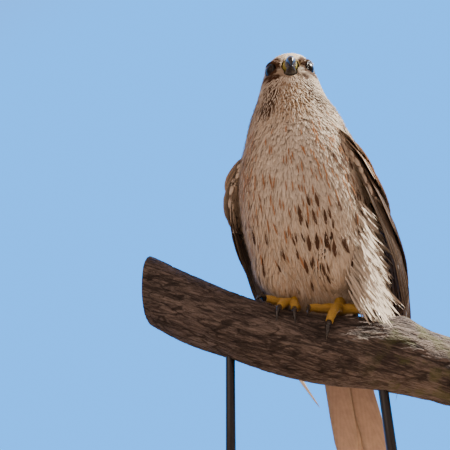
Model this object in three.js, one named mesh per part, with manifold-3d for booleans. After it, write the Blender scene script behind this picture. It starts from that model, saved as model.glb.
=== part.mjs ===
// A life-size red-tailed hawk, perched upright on a short cut length of branch that a plain stand holds up.
// Units are millimetres and +Z is up. The origin is the centre of the stand base's underside, and the hawk looks
// towards -Y. The hawk's own frame has its origin on the perch between the feet: x to its left, y to its back.
import * as THREE from "three";
import { mergeVertices } from "three/addons/utils/BufferGeometryUtils.js";
import Module from "manifold-3d";

const wasm = await Module();
wasm.setup();

const GAP = 0.3; // air left between two nodes that touch
const DEG = Math.PI / 180;

// The stand
const BASE = { length: 300, depth: 250, thickness: 18, corner: 24, bevel: 1.5 };
const ROD = { radius: 5, places: [-92, 62], into_base: 10, into_perch: 16, sides: 16 };

// The perch
const PERCH_TOP = 212; // height of the bark under the hawk
const PERCH_Y = -20;
const PERCH_RADIUS = 36;
const PERCH = { left: -185, right: 148, sides: 20, rings: 22 };
const PERCH_LINE = [
  // x along the branch, height of its middle against the middle under the hawk
  [-210, 90],
  [-130, 50],
  [-62, 19],
  [0, 0],
  [60, -8],
  [110, -22],
  [175, -50],
];

// The hawk
const BODY_YAW = -20 * DEG; // the body faces a little to the viewer's left
const HEAD_YAW = 25 * DEG; // the head turns back from the body towards the viewer
const HEAD_NOD = 18 * DEG; // the bill points down towards the viewer
const CROWN = 370; // crown above the perch
const TAIL_LENGTH = 212;
const BODY_SIDES = 28;

// Level sections of the body from the vent up to the crown: the foremost and hindmost points, the half width,
// where that is widest, and how full the section is (2 is an ellipse)
const BODY = [
  { z: 6, front: 30, back: 40, side: 0, wide: 34, full: 2 },
  { z: 7, front: 20, back: 52, side: 20, wide: 34, full: 2 },
  { z: 14, front: 8, back: 68, side: 42, wide: 32, full: 2 },
  { z: 32, front: -14, back: 82, side: 57, wide: 26, full: 2.1 },
  { z: 58, front: -42, back: 86, side: 69, wide: 17, full: 2.2 },
  { z: 93, front: -62, back: 84, side: 76, wide: 9, full: 2.2 },
  { z: 134, front: -74, back: 79, side: 79, wide: 3, full: 2.2 },
  { z: 175, front: -78, back: 72, side: 78, wide: -2, full: 2.2 },
  { z: 211, front: -75, back: 61, side: 72, wide: -7, full: 2.15 },
  { z: 241, front: -69, back: 47, side: 65, wide: -12, full: 2.1 },
  { z: 266, front: -63, back: 33, side: 56, wide: -16, full: 2 },
  { z: 289, front: -59, back: 23, side: 46.5, wide: -19, full: 2.05 },
  { z: 308, front: -58, back: 18, side: 41.5, wide: -20, full: 2.05 },
  { z: 326, front: -57, back: 16, side: 37, wide: -21, full: 2.05 },
  { z: 342, front: -53, back: 12, side: 32.5, wide: -21, full: 2.1 },
  { z: 355, front: -45, back: 5, side: 27, wide: -21, full: 2.05 },
  { z: 364, front: -35, back: -6, side: 18.5, wide: -21, full: 2 },
  { z: 369, front: -27, back: -15, side: 8, wide: -21, full: 2 },
  { z: CROWN, front: -22, back: -20, side: 0, wide: -21, full: 2 },
];
const NECK_BEND = { from: 232, to: 294 }; // heights over which the neck turns and carries the head sideways
const NECK_CUT = { height: 252, lean: 10 * DEG };
const HEAD_CUT = { height: 292, lean: 14 * DEG };
const HEAD_CENTRE = new THREE.Vector3(1.5, -20, 332);

// Colours
const COLOURS = {
  breast: 0xd9c7ac,
  brown: 0x5d4334,
  dark: 0x33261f,
  tail: 0xa5613c,
  bill: 0x2b2c31,
  cere: 0xb7a83c,
  skin: 0xe0a92e,
  claw: 0x1c1b1d,
  eye: 0x140c08,
  bark: 0x7d6d60,
  metal: 0x2a2b2d,
  wood: 0xc7b79b,
};

// Seeded random numbers from 0 to 1
function seeded(seed) {
  let state = seed;
  return () => {
    state = (state + 0x6d2b79f5) | 0;
    let t = Math.imul(state ^ (state >>> 15), 1 | state);
    t = (t + Math.imul(t ^ (t >>> 7), 61 | t)) ^ t;
    return ((t ^ (t >>> 14)) >>> 0) / 4294967296;
  };
}

const mix = (a, b, t) => a + (b - a) * t;
const clamp01 = (t) => Math.min(1, Math.max(0, t));
const ease = (t) => t * t * (3 - 2 * t);
const vec = (x, y, z) => new THREE.Vector3(x, y, z);

// A station between two of a list, every named size eased by a Catmull-Rom spline; t runs from 0 to 1
function along(stations, t) {
  const at = clamp01(t) * (stations.length - 1);
  const i = Math.min(Math.floor(at), stations.length - 2);
  const f = at - i;
  const pick = (k) => stations[Math.min(stations.length - 1, Math.max(0, k))];
  const [a, b, c, d] = [pick(i - 1), pick(i), pick(i + 1), pick(i + 2)];
  const made = {};
  for (const key of Object.keys(b)) {
    const [p, q, r, s] = [a[key], b[key], c[key], d[key]];
    const [square, cube] = [2 * p - 5 * q + 4 * r - s, 3 * q - p - 3 * r + s];
    made[key] = 0.5 * (2 * q + (r - p) * f + square * f ** 2 + cube * f ** 3);
  }
  return made;
}

// A smooth curve through points given as [x, y, z]
const curve = (points) => new THREE.CatmullRomCurve3(points.map((p) => vec(...p)), false, "centripetal");

// Closed surface through rings of points, each end closed on its ring's middle; turned(j) picks the other diagonal
function loft(rings, turned = () => false) {
  const count = rings[0].length;
  const points = rings.flat();
  const index = [];
  for (let i = 0; i < rings.length - 1; i++)
    for (let j = 0; j < count; j++) {
      const [a, b] = [i * count + j, i * count + ((j + 1) % count)];
      const [c, d] = [a + count, b + count];
      index.push(...(turned(j) ? [a, b, c, b, d, c] : [a, b, d, a, d, c]));
    }
  for (const [ring, start] of [[rings[0], 0], [rings.at(-1), (rings.length - 1) * count]]) {
    const middle = points.length;
    points.push(ring.reduce((sum, p) => sum.add(p), vec(0, 0, 0)).divideScalar(count));
    for (let j = 0; j < count; j++) {
      const pair = [start + j, start + ((j + 1) % count)];
      index.push(middle, ...(start ? pair : pair.reverse()));
    }
  }
  return solid(new THREE.BufferGeometry().setFromPoints(points).setIndex(index));
}

// A three.js geometry as a solid that joins and cuts
function solid(geometry, matrix) {
  const bare = new THREE.BufferGeometry().setAttribute("position", geometry.getAttribute("position").clone());
  bare.setIndex(geometry.index);
  if (matrix) bare.applyMatrix4(matrix);
  const merged = mergeVertices(bare, 1e-4);
  const mesh = { numProp: 3, vertProperties: merged.attributes.position.array };
  const make = (triVerts) => new wasm.Manifold(new wasm.Mesh({ ...mesh, triVerts }));
  const index = new Uint32Array(merged.index.array);
  const made = make(index);
  return made.volume() < 0 ? make(index.slice().reverse()) : made;
}

const join = (pieces) => pieces.reduce((sum, piece) => sum.add(piece));
const cut = (piece, ...tools) => tools.reduce((left, tool) => left.subtract(tool), piece);

// The largest closed surface of a solid, as a mesh named for its node
function node(name, piece, colour, roughness = 0.8, metalness = 0) {
  const body = piece.decompose().reduce((a, b) => (b.volume() > a.volume() ? b : a));
  const { vertProperties, triVerts } = body.getMesh();
  const geometry = new THREE.BufferGeometry();
  geometry.setAttribute("position", new THREE.BufferAttribute(new Float32Array(vertProperties), 3));
  geometry.setIndex(new THREE.BufferAttribute(new Uint32Array(triVerts), 1));
  geometry.computeVertexNormals();
  const mesh = new THREE.Mesh(geometry, new THREE.MeshStandardMaterial({ color: colour, roughness, metalness }));
  mesh.name = name;
  return mesh;
}

// A round limb along a curve: sizes are [share of the length, half width, half height]; grow thickens it all over
function limb(path, sizes, { sides = 10, steps = 10, up = vec(0, 0, 1), grow = 0 } = {}) {
  const stations = sizes.map(([share, wide, high]) => ({ share, wide, high }));
  const rings = [];
  for (let i = 0; i <= steps; i++) {
    const size = along(stations, i / steps);
    const share = clamp01(size.share);
    const tangent = path.getTangent(share);
    const middle = path.getPoint(share);
    if (i === 0) middle.addScaledVector(tangent, -grow);
    if (i === steps) middle.addScaledVector(tangent, grow);
    const across = vec(0, 0, 0).crossVectors(tangent, up).normalize();
    const over = vec(0, 0, 0).crossVectors(across, tangent).normalize();
    rings.push(
      Array.from({ length: sides }, (_, j) => {
        const turn = (j / sides) * 2 * Math.PI;
        return middle
          .clone()
          .addScaledVector(across, Math.cos(turn) * (Math.max(size.wide, 0.2) + grow))
          .addScaledVector(over, Math.sin(turn) * (Math.max(size.high, 0.2) + grow));
      }),
    );
  }
  return loft(rings);
}

const ball = (centre, radius, { wide = 1, deep = 1, high = 1, sides = 16, rings = 10 } = {}) =>
  solid(
    new THREE.SphereGeometry(radius, sides, rings),
    new THREE.Matrix4().makeTranslation(centre.x, centre.y, centre.z).scale(vec(wide, deep, high)),
  );

// From the hawk's own frame to the part's frame
const HAWK = new THREE.Matrix4()
  .makeTranslation(0, PERCH_Y, PERCH_TOP)
  .multiply(new THREE.Matrix4().makeRotationZ(BODY_YAW));
const inHawk = (piece) => piece.transform(HAWK.elements);

// From the head's frame, with its middle between the ears and the bill along -y, to the hawk's
const HEAD = new THREE.Matrix4()
  .makeTranslation(HEAD_CENTRE.x, HEAD_CENTRE.y, HEAD_CENTRE.z)
  .multiply(new THREE.Matrix4().makeRotationZ(HEAD_YAW))
  .multiply(new THREE.Matrix4().makeRotationX(HEAD_NOD));
const inHead = (piece) => piece.transform(HEAD.elements);

// The stand

function standBase() {
  const { length, depth, thickness, corner, bevel } = BASE;
  const [x, y] = [length / 2 - bevel - corner, depth / 2 - bevel - corner];
  const outline = new THREE.Shape();
  outline.absarc(x, y, corner, 0, 90 * DEG);
  outline.absarc(-x, y, corner, 90 * DEG, 180 * DEG);
  outline.absarc(-x, -y, corner, 180 * DEG, 270 * DEG);
  outline.absarc(x, -y, corner, 270 * DEG, 360 * DEG);
  const slab = new THREE.ExtrudeGeometry(outline, {
    depth: thickness - 2 * bevel,
    bevelThickness: bevel,
    bevelSize: bevel,
    bevelSegments: 1,
    curveSegments: 5,
  });
  return solid(slab.translate(0, 0, bevel));
}

function rod(x, grow = 0) {
  const foot = BASE.thickness - ROD.into_base - grow;
  const top = perchMiddle(x).z - perchRadius(x, Math.PI) + ROD.into_perch + grow;
  const shaft = new THREE.CylinderGeometry(ROD.radius + grow, ROD.radius + grow, top - foot, ROD.sides);
  return solid(shaft.rotateX(90 * DEG).translate(x, PERCH_Y, (top + foot) / 2));
}

// The perch

const perchLine = curve(PERCH_LINE.map(([x, rise]) => [x, PERCH_Y, PERCH_TOP - PERCH_RADIUS + rise]));

function perchMiddle(x) {
  let [low, high] = [0, 1];
  for (let k = 0; k < 24; k++) {
    const half = (low + high) / 2;
    if (perchLine.getPoint(half).x < x) low = half;
    else high = half;
  }
  return perchLine.getPoint(low);
}

// Radius of the bark, with turn 0 at the top and positive towards the front: long swells, and a knot at the right
const KNOT = { x: 92, turn: 18 * DEG, reach: 24, height: 9 };
function perchRadius(x, turn) {
  const long = 1.1 * Math.sin(x / 31 + 2 * turn) + 0.8 * Math.sin(x / 17 - 3 * turn + 1);
  const swell = long + 0.6 * Math.sin(5 * turn + x / 40);
  const away = Math.hypot((x - KNOT.x) / KNOT.reach, ((turn - KNOT.turn) * PERCH_RADIUS) / KNOT.reach);
  const quiet = ease(clamp01((Math.abs(x) - 30) / 40)); // even where the feet grip
  const thick = PERCH_RADIUS * mix(1, 1.13, ease(clamp01(-x / 170)));
  return thick + swell * mix(0.35, 1, quiet) + KNOT.height * Math.exp(-2.2 * away * away);
}

function onPerch(x, turn, above = 0) {
  const middle = perchMiddle(x);
  const radius = perchRadius(x, turn) + above;
  return vec(x, middle.y - Math.sin(turn) * radius, middle.z + Math.cos(turn) * radius);
}

function perch(grow = 0) {
  const rings = [];
  for (let i = 0; i <= PERCH.rings; i++) {
    const x = mix(PERCH.left - grow, PERCH.right + grow, i / PERCH.rings);
    rings.push(
      Array.from({ length: PERCH.sides }, (_, j) => onPerch(x, -Math.PI + (j / PERCH.sides) * 2 * Math.PI, grow)),
    );
  }
  return loft(rings);
}

// The body, from the vent to the crown, in the hawk's frame

// A point of the body's surface: share 0 is the vent and 1 the crown; turn 0 is the front and positive to its left
function bodyPoint(share, turn, grow = 0) {
  const s = along(BODY, share);
  const facing = -Math.cos(turn);
  const round = (value) => Math.sign(value) * Math.abs(value) ** (2 / s.full);
  const depth = facing < 0 ? s.wide - s.front : s.back - s.wide;
  const across = round(Math.sin(turn)) * (Math.max(s.side, 0) + grow);
  const point = vec(across, s.wide + round(facing) * (Math.max(depth, 0) + grow) - HEAD_CENTRE.y, s.z);
  const bend = ease(clamp01((s.z - NECK_BEND.from) / (NECK_BEND.to - NECK_BEND.from)));
  point.applyAxisAngle(vec(0, 0, 1), HEAD_YAW * bend).add(vec(HEAD_CENTRE.x * bend, HEAD_CENTRE.y, 0));
  if (share === 0) point.z -= grow;
  if (share === 1) point.z += grow;
  return point;
}

function wholeBody(grow = 0, rings = 32) {
  return loft(
    Array.from({ length: rings + 1 }, (_, i) =>
      Array.from({ length: BODY_SIDES }, (_, j) => bodyPoint(i / rings, (j / BODY_SIDES) * 2 * Math.PI, grow)),
    ),
  );
}

// The part of a solid above (or below) a plane that leans forward about a height over the perch
function above(piece, { height, lean }, lift = 0) {
  const normal = [0, -Math.sin(lean), Math.cos(lean)];
  return piece.trimByPlane(normal, normal[1] * HEAD_CENTRE.y + normal[2] * (height + lift));
}
function below(piece, { height, lean }, lift = 0) {
  const normal = [0, Math.sin(lean), -Math.cos(lean)];
  return piece.trimByPlane(normal, normal[1] * HEAD_CENTRE.y + normal[2] * (height - lift));
}

// Eyes, lids, cere and bill, in the head's frame

const EYE = { radius: 9.5, x: 22, y: -22, z: 0.5 };
const eyeCentre = (side) => vec(side * EYE.x, EYE.y, EYE.z);

function eye(side, grow = 0) {
  return ball(eyeCentre(side), EYE.radius + grow, { sides: 12, rings: 8 });
}

// The rim of bare lid round an eye, and the ledge of feathered bone over it
function lids(side) {
  const outward = vec(side, -0.75, 0).normalize();
  const turn = new THREE.Quaternion().setFromUnitVectors(vec(0, 0, 1), outward);
  const middle = eyeCentre(side).addScaledVector(outward, 5.6);
  const place = new THREE.Matrix4().compose(middle, turn, vec(1.08, 0.98, 1));
  return solid(new THREE.TorusGeometry(7.1, 1.7, 5, 12), place);
}

function brow(side) {
  const path = curve([
    [side * 12, -36, 6],
    [side * 20, -31, 10],
    [side * 27, -20, 11.5],
    [side * 30, -6, 10],
    [side * 29, 8, 6],
  ]);
  return limb(path, [[0, 2, 1.5], [0.3, 4.6, 3.4], [0.6, 5, 3.6], [1, 2, 1.5]], { sides: 8, steps: 6 });
}

// The gape runs from the bill back to under the eye
function gape(side) {
  const path = curve([
    [side * 3, -46, -7.5],
    [side * 9, -38, -7.5],
    [side * 15.5, -28, -7],
    [side * 24, -20, -6.2],
    [side * 34, -14, -6],
  ]);
  return limb(path, [[0, 2, 0.5], [1, 4, 0.5]], { sides: 6, steps: 5 });
}

const BILL = { width: 7.4, height: 8.6 };
function cere(grow = 0) {
  const path = curve([
    [0, -22, 1.5],
    [0, -32, 1.2],
    [0, -38, 0.6],
    [0, -43.5, -0.4],
  ]);
  const sizes = [[0, 11, 11], [0.35, 10, 10.6], [0.7, 8.6, 9.6], [1, BILL.width + 0.4, BILL.height + 0.3]];
  return limb(path, sizes, { sides: 14, steps: 5, grow });
}

function upperBill(grow = 0) {
  const path = curve([
    [0, -42.8, -0.3],
    [0, -49, -1],
    [0, -55, -3.4],
    [0, -59.6, -8],
    [0, -61, -13.6],
  ]);
  const sizes = [
    [0, BILL.width, BILL.height],
    [0.25, 6.4, 7.6],
    [0.5, 5, 6],
    [0.75, 3, 3.6],
    [1, 0.7, 0.7],
  ];
  return limb(path, sizes, { sides: 12, steps: 8, grow });
}

function lowerBill(grow = 0) {
  const path = curve([
    [0, -30, -10.5],
    [0, -40, -10.6],
    [0, -48, -10.4],
    [0, -54, -9.4],
  ]);
  const sizes = [[0, 8.6, 4], [0.4, 7, 3.8], [0.75, 5, 3], [1, 2.2, 1.4]];
  return limb(path, sizes, { sides: 10, steps: 6, grow });
}

function nostril(side) {
  return ball(vec(side * 8.6, -38.4, 3.4), 1.9, { wide: 1, deep: 1.25, high: 0.8, sides: 8, rings: 5 });
}

const inHeadAll = (make) => [1, -1].map((side) => inHead(make(side)));

// Vanes: flat feathers that lie on a surface

// The outline of a feather: [share of the length, share of the half width]
const OUTLINE = [
  [0, 0.5],
  [0.45, 0.96],
  [0.87, 0.82],
  [1, 0.16],
];

// One feather, whose faces are triangulated alike. spot(s, a) gives a place on its middle sheet and the way out
// there: s runs from root to tip and a from edge to edge, from -1 to 1
function vane(spot, thick) {
  const rings = OUTLINE.map(([s, share]) => {
    const spots = [-share, 0, share].map((a) => spot(s, a));
    const face = (side) => spots.map(({ point, out }) => point.clone().addScaledVector(out, (side * thick) / 2));
    return [...face(1), ...face(-1).reverse()];
  });
  return loft(rings, (j) => j === 3 || j === 4);
}

// The folded wing, as a curved sheet from three rails that run from the shoulder to the wing tip: the leading
// edge, the outermost line and the trailing edge over the back
const RAILS = {
  front: [
    [33, -28, 246],
    [65, -38, 214],
    [90, -28, 155],
    [93, 5, 84],
    [80, 54, -2],
    [43, 114, -86],
  ],
  outer: [
    [36, 9, 264],
    [73, 21, 230],
    [104, 44, 165],
    [110, 69, 87],
    [88, 102, -1],
    [47, 131, -88],
  ],
  back: [
    [25, 36, 268],
    [40, 66, 229],
    [40, 94, 164],
    [30, 109, 87],
    [21, 117, 3],
    [26, 133, -85],
  ],
};
// How far each wing stands out from the body at its wrist and at its hand
const WINGS = {
  left: { side: 1, wrist: -7, hand: 12, seed: 11 },
  right: { side: -1, wrist: 4, hand: -1, seed: 23 },
};

function wingSheet({ side, wrist, hand }) {
  const rails = Object.values(RAILS).map((points) => curve(points));
  const point = (u, v) => {
    const [f, m, b] = rails.map((rail) => rail.getPoint(clamp01(u)));
    const p = f.multiplyScalar((1 - v) ** 2).addScaledVector(m, 2 * v * (1 - v)).addScaledVector(b, v * v);
    const bump = (middle) => Math.exp(-(((u - middle) / 0.24) ** 2)) * (1 - v * v);
    return vec(side * (p.x + wrist * bump(0.38) + hand * bump(0.78)), p.y, p.z);
  };
  const normal = (u, v) => {
    const step = 0.02;
    const [u0, u1, v0, v1] = [clamp01(u - step), clamp01(u + step), v - step, v + step];
    const du = point(u1, v).sub(point(u0, v));
    const dv = point(u, v1).sub(point(u, v0));
    return vec(0, 0, 0).crossVectors(du, dv).multiplyScalar(side).normalize();
  };
  return { point, normal };
}

// Feather tiers of a folded wing, outermost last: primaries, secondaries, tertials, greater and median coverts. Each
// runs from root to tip along u, and from the leading edge (first) to the back (last) along v. lift is the height
// over the sheet at the root and at the tip, and long is how far the tier's third feather outreaches its ends
const TIERS = [
  { count: 5, v: [0.05, 0.36], root: [0.4, 0.42], tip: [0.96, 0.86], half: 0.12, lift: [-9, -6.6], long: 0.04 },
  { count: 6, v: [0.16, 0.7], root: [0.36, 0.36], tip: [0.62, 0.84], half: 0.13, lift: [-6.4, -3.4], long: 0 },
  { count: 2, v: [0.8, 0.93], root: [0.32, 0.28], tip: [0.8, 0.7], half: 0.14, lift: [-5, 0], long: 0 },
  { count: 5, v: [0.12, 0.86], root: [0.22, 0.26], tip: [0.46, 0.56], half: 0.17, lift: [-5, 1], long: 0 },
  { count: 4, v: [0.14, 0.84], root: [0.1, 0.12], tip: [0.32, 0.4], half: 0.2, lift: [-5, 4.4], long: 0 },
];

const FLIGHT = { tilt: -1.7, thick: 0.7 };
function wing(which) {
  const settings = WINGS[which];
  const sheet = wingSheet(settings);
  const random = seeded(settings.seed);
  const vanes = [];
  for (const tier of TIERS)
    for (let k = 0; k < tier.count; k++) {
      const place = k / (tier.count - 1);
      const v = mix(...tier.v, place);
      const root = mix(...tier.root, place);
      const reach = tier.long * (1 - Math.abs(place - 0.3) * 2);
      const tip = mix(...tier.tip, place) + 0.012 * (random() - 0.5) + reach;
      const half = tier.half * mix(0.94, 1.04, random());
      const spot = (s, a) => {
        const [u, w] = [mix(root, tip, s), v + a * half];
        const out = sheet.normal(u, w);
        const lift = mix(...tier.lift, clamp01(s * 1.5)) + FLIGHT.tilt * a;
        return { point: sheet.point(u, w).addScaledVector(out, lift), out };
      };
      vanes.push(vane(spot, FLIGHT.thick));
    }
  return join([wingCore(sheet), ...vanes]);
}

// The arm and hand under the coverts: thick and round at the leading edge, thin at the back
const ARM = { reach: 0.5, front: 13, back: 6, rings: 8, across: 5 };
function wingCore(sheet) {
  const rings = [];
  for (let i = 0; i <= ARM.rings; i++) {
    const u = mix(0, ARM.reach, i / ARM.rings);
    const full = Math.sqrt(clamp01(1 - (i / ARM.rings) ** 3));
    const swell = mix(0.25, 1, full) * Math.sin(Math.PI * mix(0.22, 0.5, clamp01(i / 2)));
    const thick = (v) => mix(ARM.front, ARM.back, ease(v)) * swell;
    const outer = [];
    const inner = [];
    for (let j = 0; j <= ARM.across; j++) {
      const v = j / ARM.across;
      const [point, out] = [sheet.point(u, v), sheet.normal(u, v)];
      const rounding = Math.sqrt(Math.sin(Math.PI * mix(0.08, 0.92, v)));
      const sink = mix(5, 0, full);
      outer.push(point.clone().addScaledVector(out, -sink - (1 - rounding) * thick(v) * 0.5));
      inner.unshift(point.clone().addScaledVector(out, -sink - thick(v) * (0.5 + 0.5 * rounding)));
    }
    rings.push([...outer, ...inner]);
  }
  return loft(rings);
}

// The tail: twelve feathers that lie on each other under two middle ones, and the coverts at its root

const TAIL_ROOT = vec(0, 64, 44);
const TAIL_DOWN = vec(0, 0.36, -0.93).normalize();
const TAIL_OUT = vec(0, 0.93, 0.36).normalize(); // the way its upper side faces
const TAIL = { pairs: 6, half: 15, spread_root: 7, spread_tip: 21, layer: 1.05, thick: 0.7 };
const COVERTS = { count: 3, layer: 1.4, thick: 0.8, spread: 24 };

// A place on the tail: so far down from its root, out from its middle sheet and across
const tailSpot = (down, lift, across) => ({
  point: TAIL_ROOT.clone().addScaledVector(TAIL_DOWN, down).addScaledVector(TAIL_OUT, lift).add(vec(across, 0, 0)),
  out: TAIL_OUT,
});

function tailVane(side, k) {
  const share = (k + 0.5) / TAIL.pairs;
  const layer = -(2 * k + (side > 0 ? 0 : 1)) * TAIL.layer;
  const length = TAIL_LENGTH - 9 * share ** 2;
  const spot = (s, a) => {
    const middle = side * mix(TAIL.spread_root, TAIL.spread_tip, s) * share;
    return tailSpot(length * s, layer + 4 + 3 * s * s, middle + a * TAIL.half);
  };
  return vane(spot, TAIL.thick);
}

// Coverts over the tail's root: above on its upper side, and below as the pale fluffy feathers under it
function tailCovert(upper, k) {
  const place = (2 * k) / (COVERTS.count - 1) - 1;
  const rank = Math.abs(2 * k + 0.5 - (COVERTS.count - 1));
  const start = upper ? 8 : 4;
  const length = (upper ? 62 : 96) - 22 * place * place;
  const spot = (s, a) => {
    const lift = upper ? mix(3, 9.4, s) - rank * COVERTS.layer : mix(-11, -16, s) + rank * COVERTS.layer;
    return tailSpot(start + length * s, lift, place * mix(16, COVERTS.spread, s) + a * 15);
  };
  return vane(spot, COVERTS.thick);
}

function tail() {
  const vanes = [];
  for (const side of [1, -1]) for (let k = 0; k < TAIL.pairs; k++) vanes.push(tailVane(side, k));
  const rump = curve([
    TAIL_ROOT.clone().addScaledVector(TAIL_DOWN, -26).toArray(),
    TAIL_ROOT.clone().addScaledVector(TAIL_DOWN, 10).toArray(),
    TAIL_ROOT.clone().addScaledVector(TAIL_DOWN, 46).addScaledVector(TAIL_OUT, -2).toArray(),
  ]);
  const core = limb(rump, [[0, 40, 26], [0.4, 33, 19], [0.75, 25, 11], [1, 16, 5]], { sides: 14, steps: 6 });
  for (let k = 0; k < COVERTS.count; k++) vanes.push(tailCovert(true, k), tailCovert(false, k));
  return join([core, ...vanes]);
}

// Legs, in the part's frame below the ankle so that the feet sit on the bark

const FEET = {
  left: {
    side: 1,
    x: 29,
    turn: 3 * DEG,
    // where each toe ends: along the perch, round it, and how long its claw is
    toes: {
      inner: { x: -4, turn: 20 * DEG, claw: [-6, 47 * DEG] },
      middle: { x: 15, turn: 62 * DEG, claw: [10, 91 * DEG] },
      outer: { x: 59, turn: 24 * DEG, claw: [68, 43 * DEG] },
      hind: { x: 27, turn: -44 * DEG, claw: [26, -80 * DEG] },
    },
  },
  right: {
    side: -1,
    x: -21,
    turn: -4 * DEG,
    toes: {
      inner: { x: -19, turn: 42 * DEG, claw: [-19, 72 * DEG] },
      middle: { x: -34, turn: 48 * DEG, claw: [-38, 77 * DEG] },
      outer: { x: -50, turn: 20 * DEG, claw: [-60, 40 * DEG] },
      hind: { x: -20, turn: -48 * DEG, claw: [-19, -84 * DEG] },
    },
  },
};
const TOE = { root: 6.2, knuckle: 5, tip: 4.3, sides: 8, steps: 8 };
const TARSUS = { radius: 6.2, top: 66, sides: 12 };

function foot({ x, turn, side }, grow = 0) {
  const heel = onPerch(x, turn, 7.5);
  const ankle = vec(x + side * 3, PERCH_Y + 20, PERCH_TOP + TARSUS.top);
  const path = curve([
    ankle.toArray(),
    heel.clone().lerp(ankle, 0.5).add(vec(0, -1.5, 0)).toArray(),
    heel.clone().lerp(ankle, 0.14).toArray(),
    heel.clone().add(vec(0, 0, -3)).toArray(),
  ]);
  const r = TARSUS.radius;
  const sizes = [
    [0, r + 1.6, r + 2],
    [0.4, r, r],
    [0.75, r + 0.4, r + 0.2],
    [0.9, r + 2.4, r + 2.2],
    [1, r + 1.5, r + 1.2],
  ];
  return limb(path, sizes, { sides: TARSUS.sides, steps: 12, up: vec(0, -1, 0), grow });
}

// A toe arches over the bark from the foot to its claw, with a pad under each joint
function toePath(leg, toe) {
  const points = [];
  for (const [share, over] of [[0, 7], [0.3, 8.2], [0.62, 6.6], [0.86, 6.6], [1, 5.4]])
    points.push(onPerch(mix(leg.x, toe.x, share), mix(leg.turn, toe.turn, share), over).toArray());
  return curve(points);
}

function toe(leg, place, grow = 0) {
  const path = toePath(leg, place);
  const sizes = [];
  for (let i = 0; i <= TOE.steps; i++) {
    const s = i / TOE.steps;
    const size = s < 0.5 ? mix(TOE.root, TOE.knuckle, s * 2) : mix(TOE.knuckle, TOE.tip, s * 2 - 1);
    const knuckles = 0.45 * Math.cos(s * 6 * Math.PI + 0.6);
    sizes.push([s, size * 0.92 + knuckles * 0.5, size + knuckles]);
  }
  return limb(path, sizes, { sides: TOE.sides, steps: TOE.steps, up: outOfBark(path), grow });
}

// The way out of the bark at a path's middle
function outOfBark(path) {
  const point = path.getPoint(0.5);
  return point.sub(perchMiddle(point.x)).normalize();
}

function claw(leg, place) {
  const start = toePath(leg, place);
  const from = start.getPoint(1).addScaledVector(start.getTangent(1), GAP);
  const [x, turn] = place.claw;
  const tipAbove = 1.6;
  const path = curve([
    from.toArray(),
    onPerch(mix(place.x, x, 0.3), mix(place.turn, turn, 0.3), 7).toArray(),
    onPerch(mix(place.x, x, 0.68), mix(place.turn, turn, 0.7), 5.6).toArray(),
    onPerch(x, turn, tipAbove).toArray(),
  ]);
  return limb(path, [[0, 3.3, 3.9], [0.3, 2.8, 3.4], [0.65, 1.8, 2.2], [1, 0.4, 0.4]], {
    sides: 6,
    steps: 7,
    up: outOfBark(path),
  });
}

// Feathered thigh in the hawk's frame, from the flank to the ankle
function thigh(side, grow = 0) {
  const path = curve([
    [side * 36, 4, 118],
    [side * 36, -2, 86],
    [side * 34, -4, 58],
    [side * 30, 0, 38],
    [side * 29, 4, 25],
  ]);
  const sizes = [[0, 22, 22], [0.25, 34, 36], [0.55, 31, 34], [0.82, 20, 23], [1, 10, 11]];
  return limb(path, sizes, { sides: 18, steps: 10, up: vec(0, -1, 0), grow });
}

// Building the nodes

const perchSolid = cut(perch(), ...ROD.places.map((x) => rod(x, GAP)));
const baseSolid = cut(standBase(), ...ROD.places.map((x) => rod(x, GAP)));
const perchShell = perch(GAP);

const body = wholeBody();
const bodyShell = inHawk(wholeBody(GAP));
const wholeTorso = inHawk(below(body, NECK_CUT, GAP / 2));
const neck = inHawk(below(above(body, NECK_CUT, GAP / 2), HEAD_CUT, GAP / 2));
const eyes = [1, -1].map((side) => inHawk(inHead(eye(side))));
const sockets = inHeadAll((side) => eye(side, GAP));
const skull = join([above(body, HEAD_CUT, GAP / 2), ...inHeadAll(brow), ...inHeadAll(lids)]);
const face = [cere(GAP), lowerBill(GAP)].map(inHead);
const head = cut(skull, ...sockets, ...face, ...inHeadAll(gape));
const cereSolid = cut(inHead(cere()), ...inHeadAll(nostril), inHead(upperBill(GAP)), inHead(lowerBill(GAP)));
const upper = inHead(upperBill());
const lower = cut(inHead(lowerBill()), inHead(upperBill(GAP)));

const legs = Object.entries(FEET).map(([name, leg]) => {
  const thighSolid = cut(inHawk(thigh(leg.side)), bodyShell, perchShell);
  const footSolid = cut(foot(leg), inHawk(thigh(leg.side, GAP)), bodyShell, perchShell);
  const footShell = foot(leg, GAP);
  const digits = Object.entries(leg.toes);
  const shells = digits.map(([, place]) => toe(leg, place, GAP));
  const toes = digits.map(([digit, place], i) => {
    const toeSolid = cut(toe(leg, place), footShell, perchShell, ...shells.slice(0, i));
    const clawSolid = cut(claw(leg, place), shells[i], perchShell);
    return { digit, toeSolid, clawSolid };
  });
  return { name, thighSolid: cut(thighSolid, ...shells), footSolid, toes, shells };
});

const torso = cut(wholeTorso, perchShell, ...legs.flatMap(({ shells }) => shells));
const thighShells = [1, -1].map((side) => inHawk(thigh(side, GAP)));
const wings = Object.keys(WINGS).map((name) => [name, cut(inHawk(wing(name)), bodyShell, ...thighShells)]);
const tailSolid = cut(inHawk(tail()), bodyShell, ...thighShells);

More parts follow.
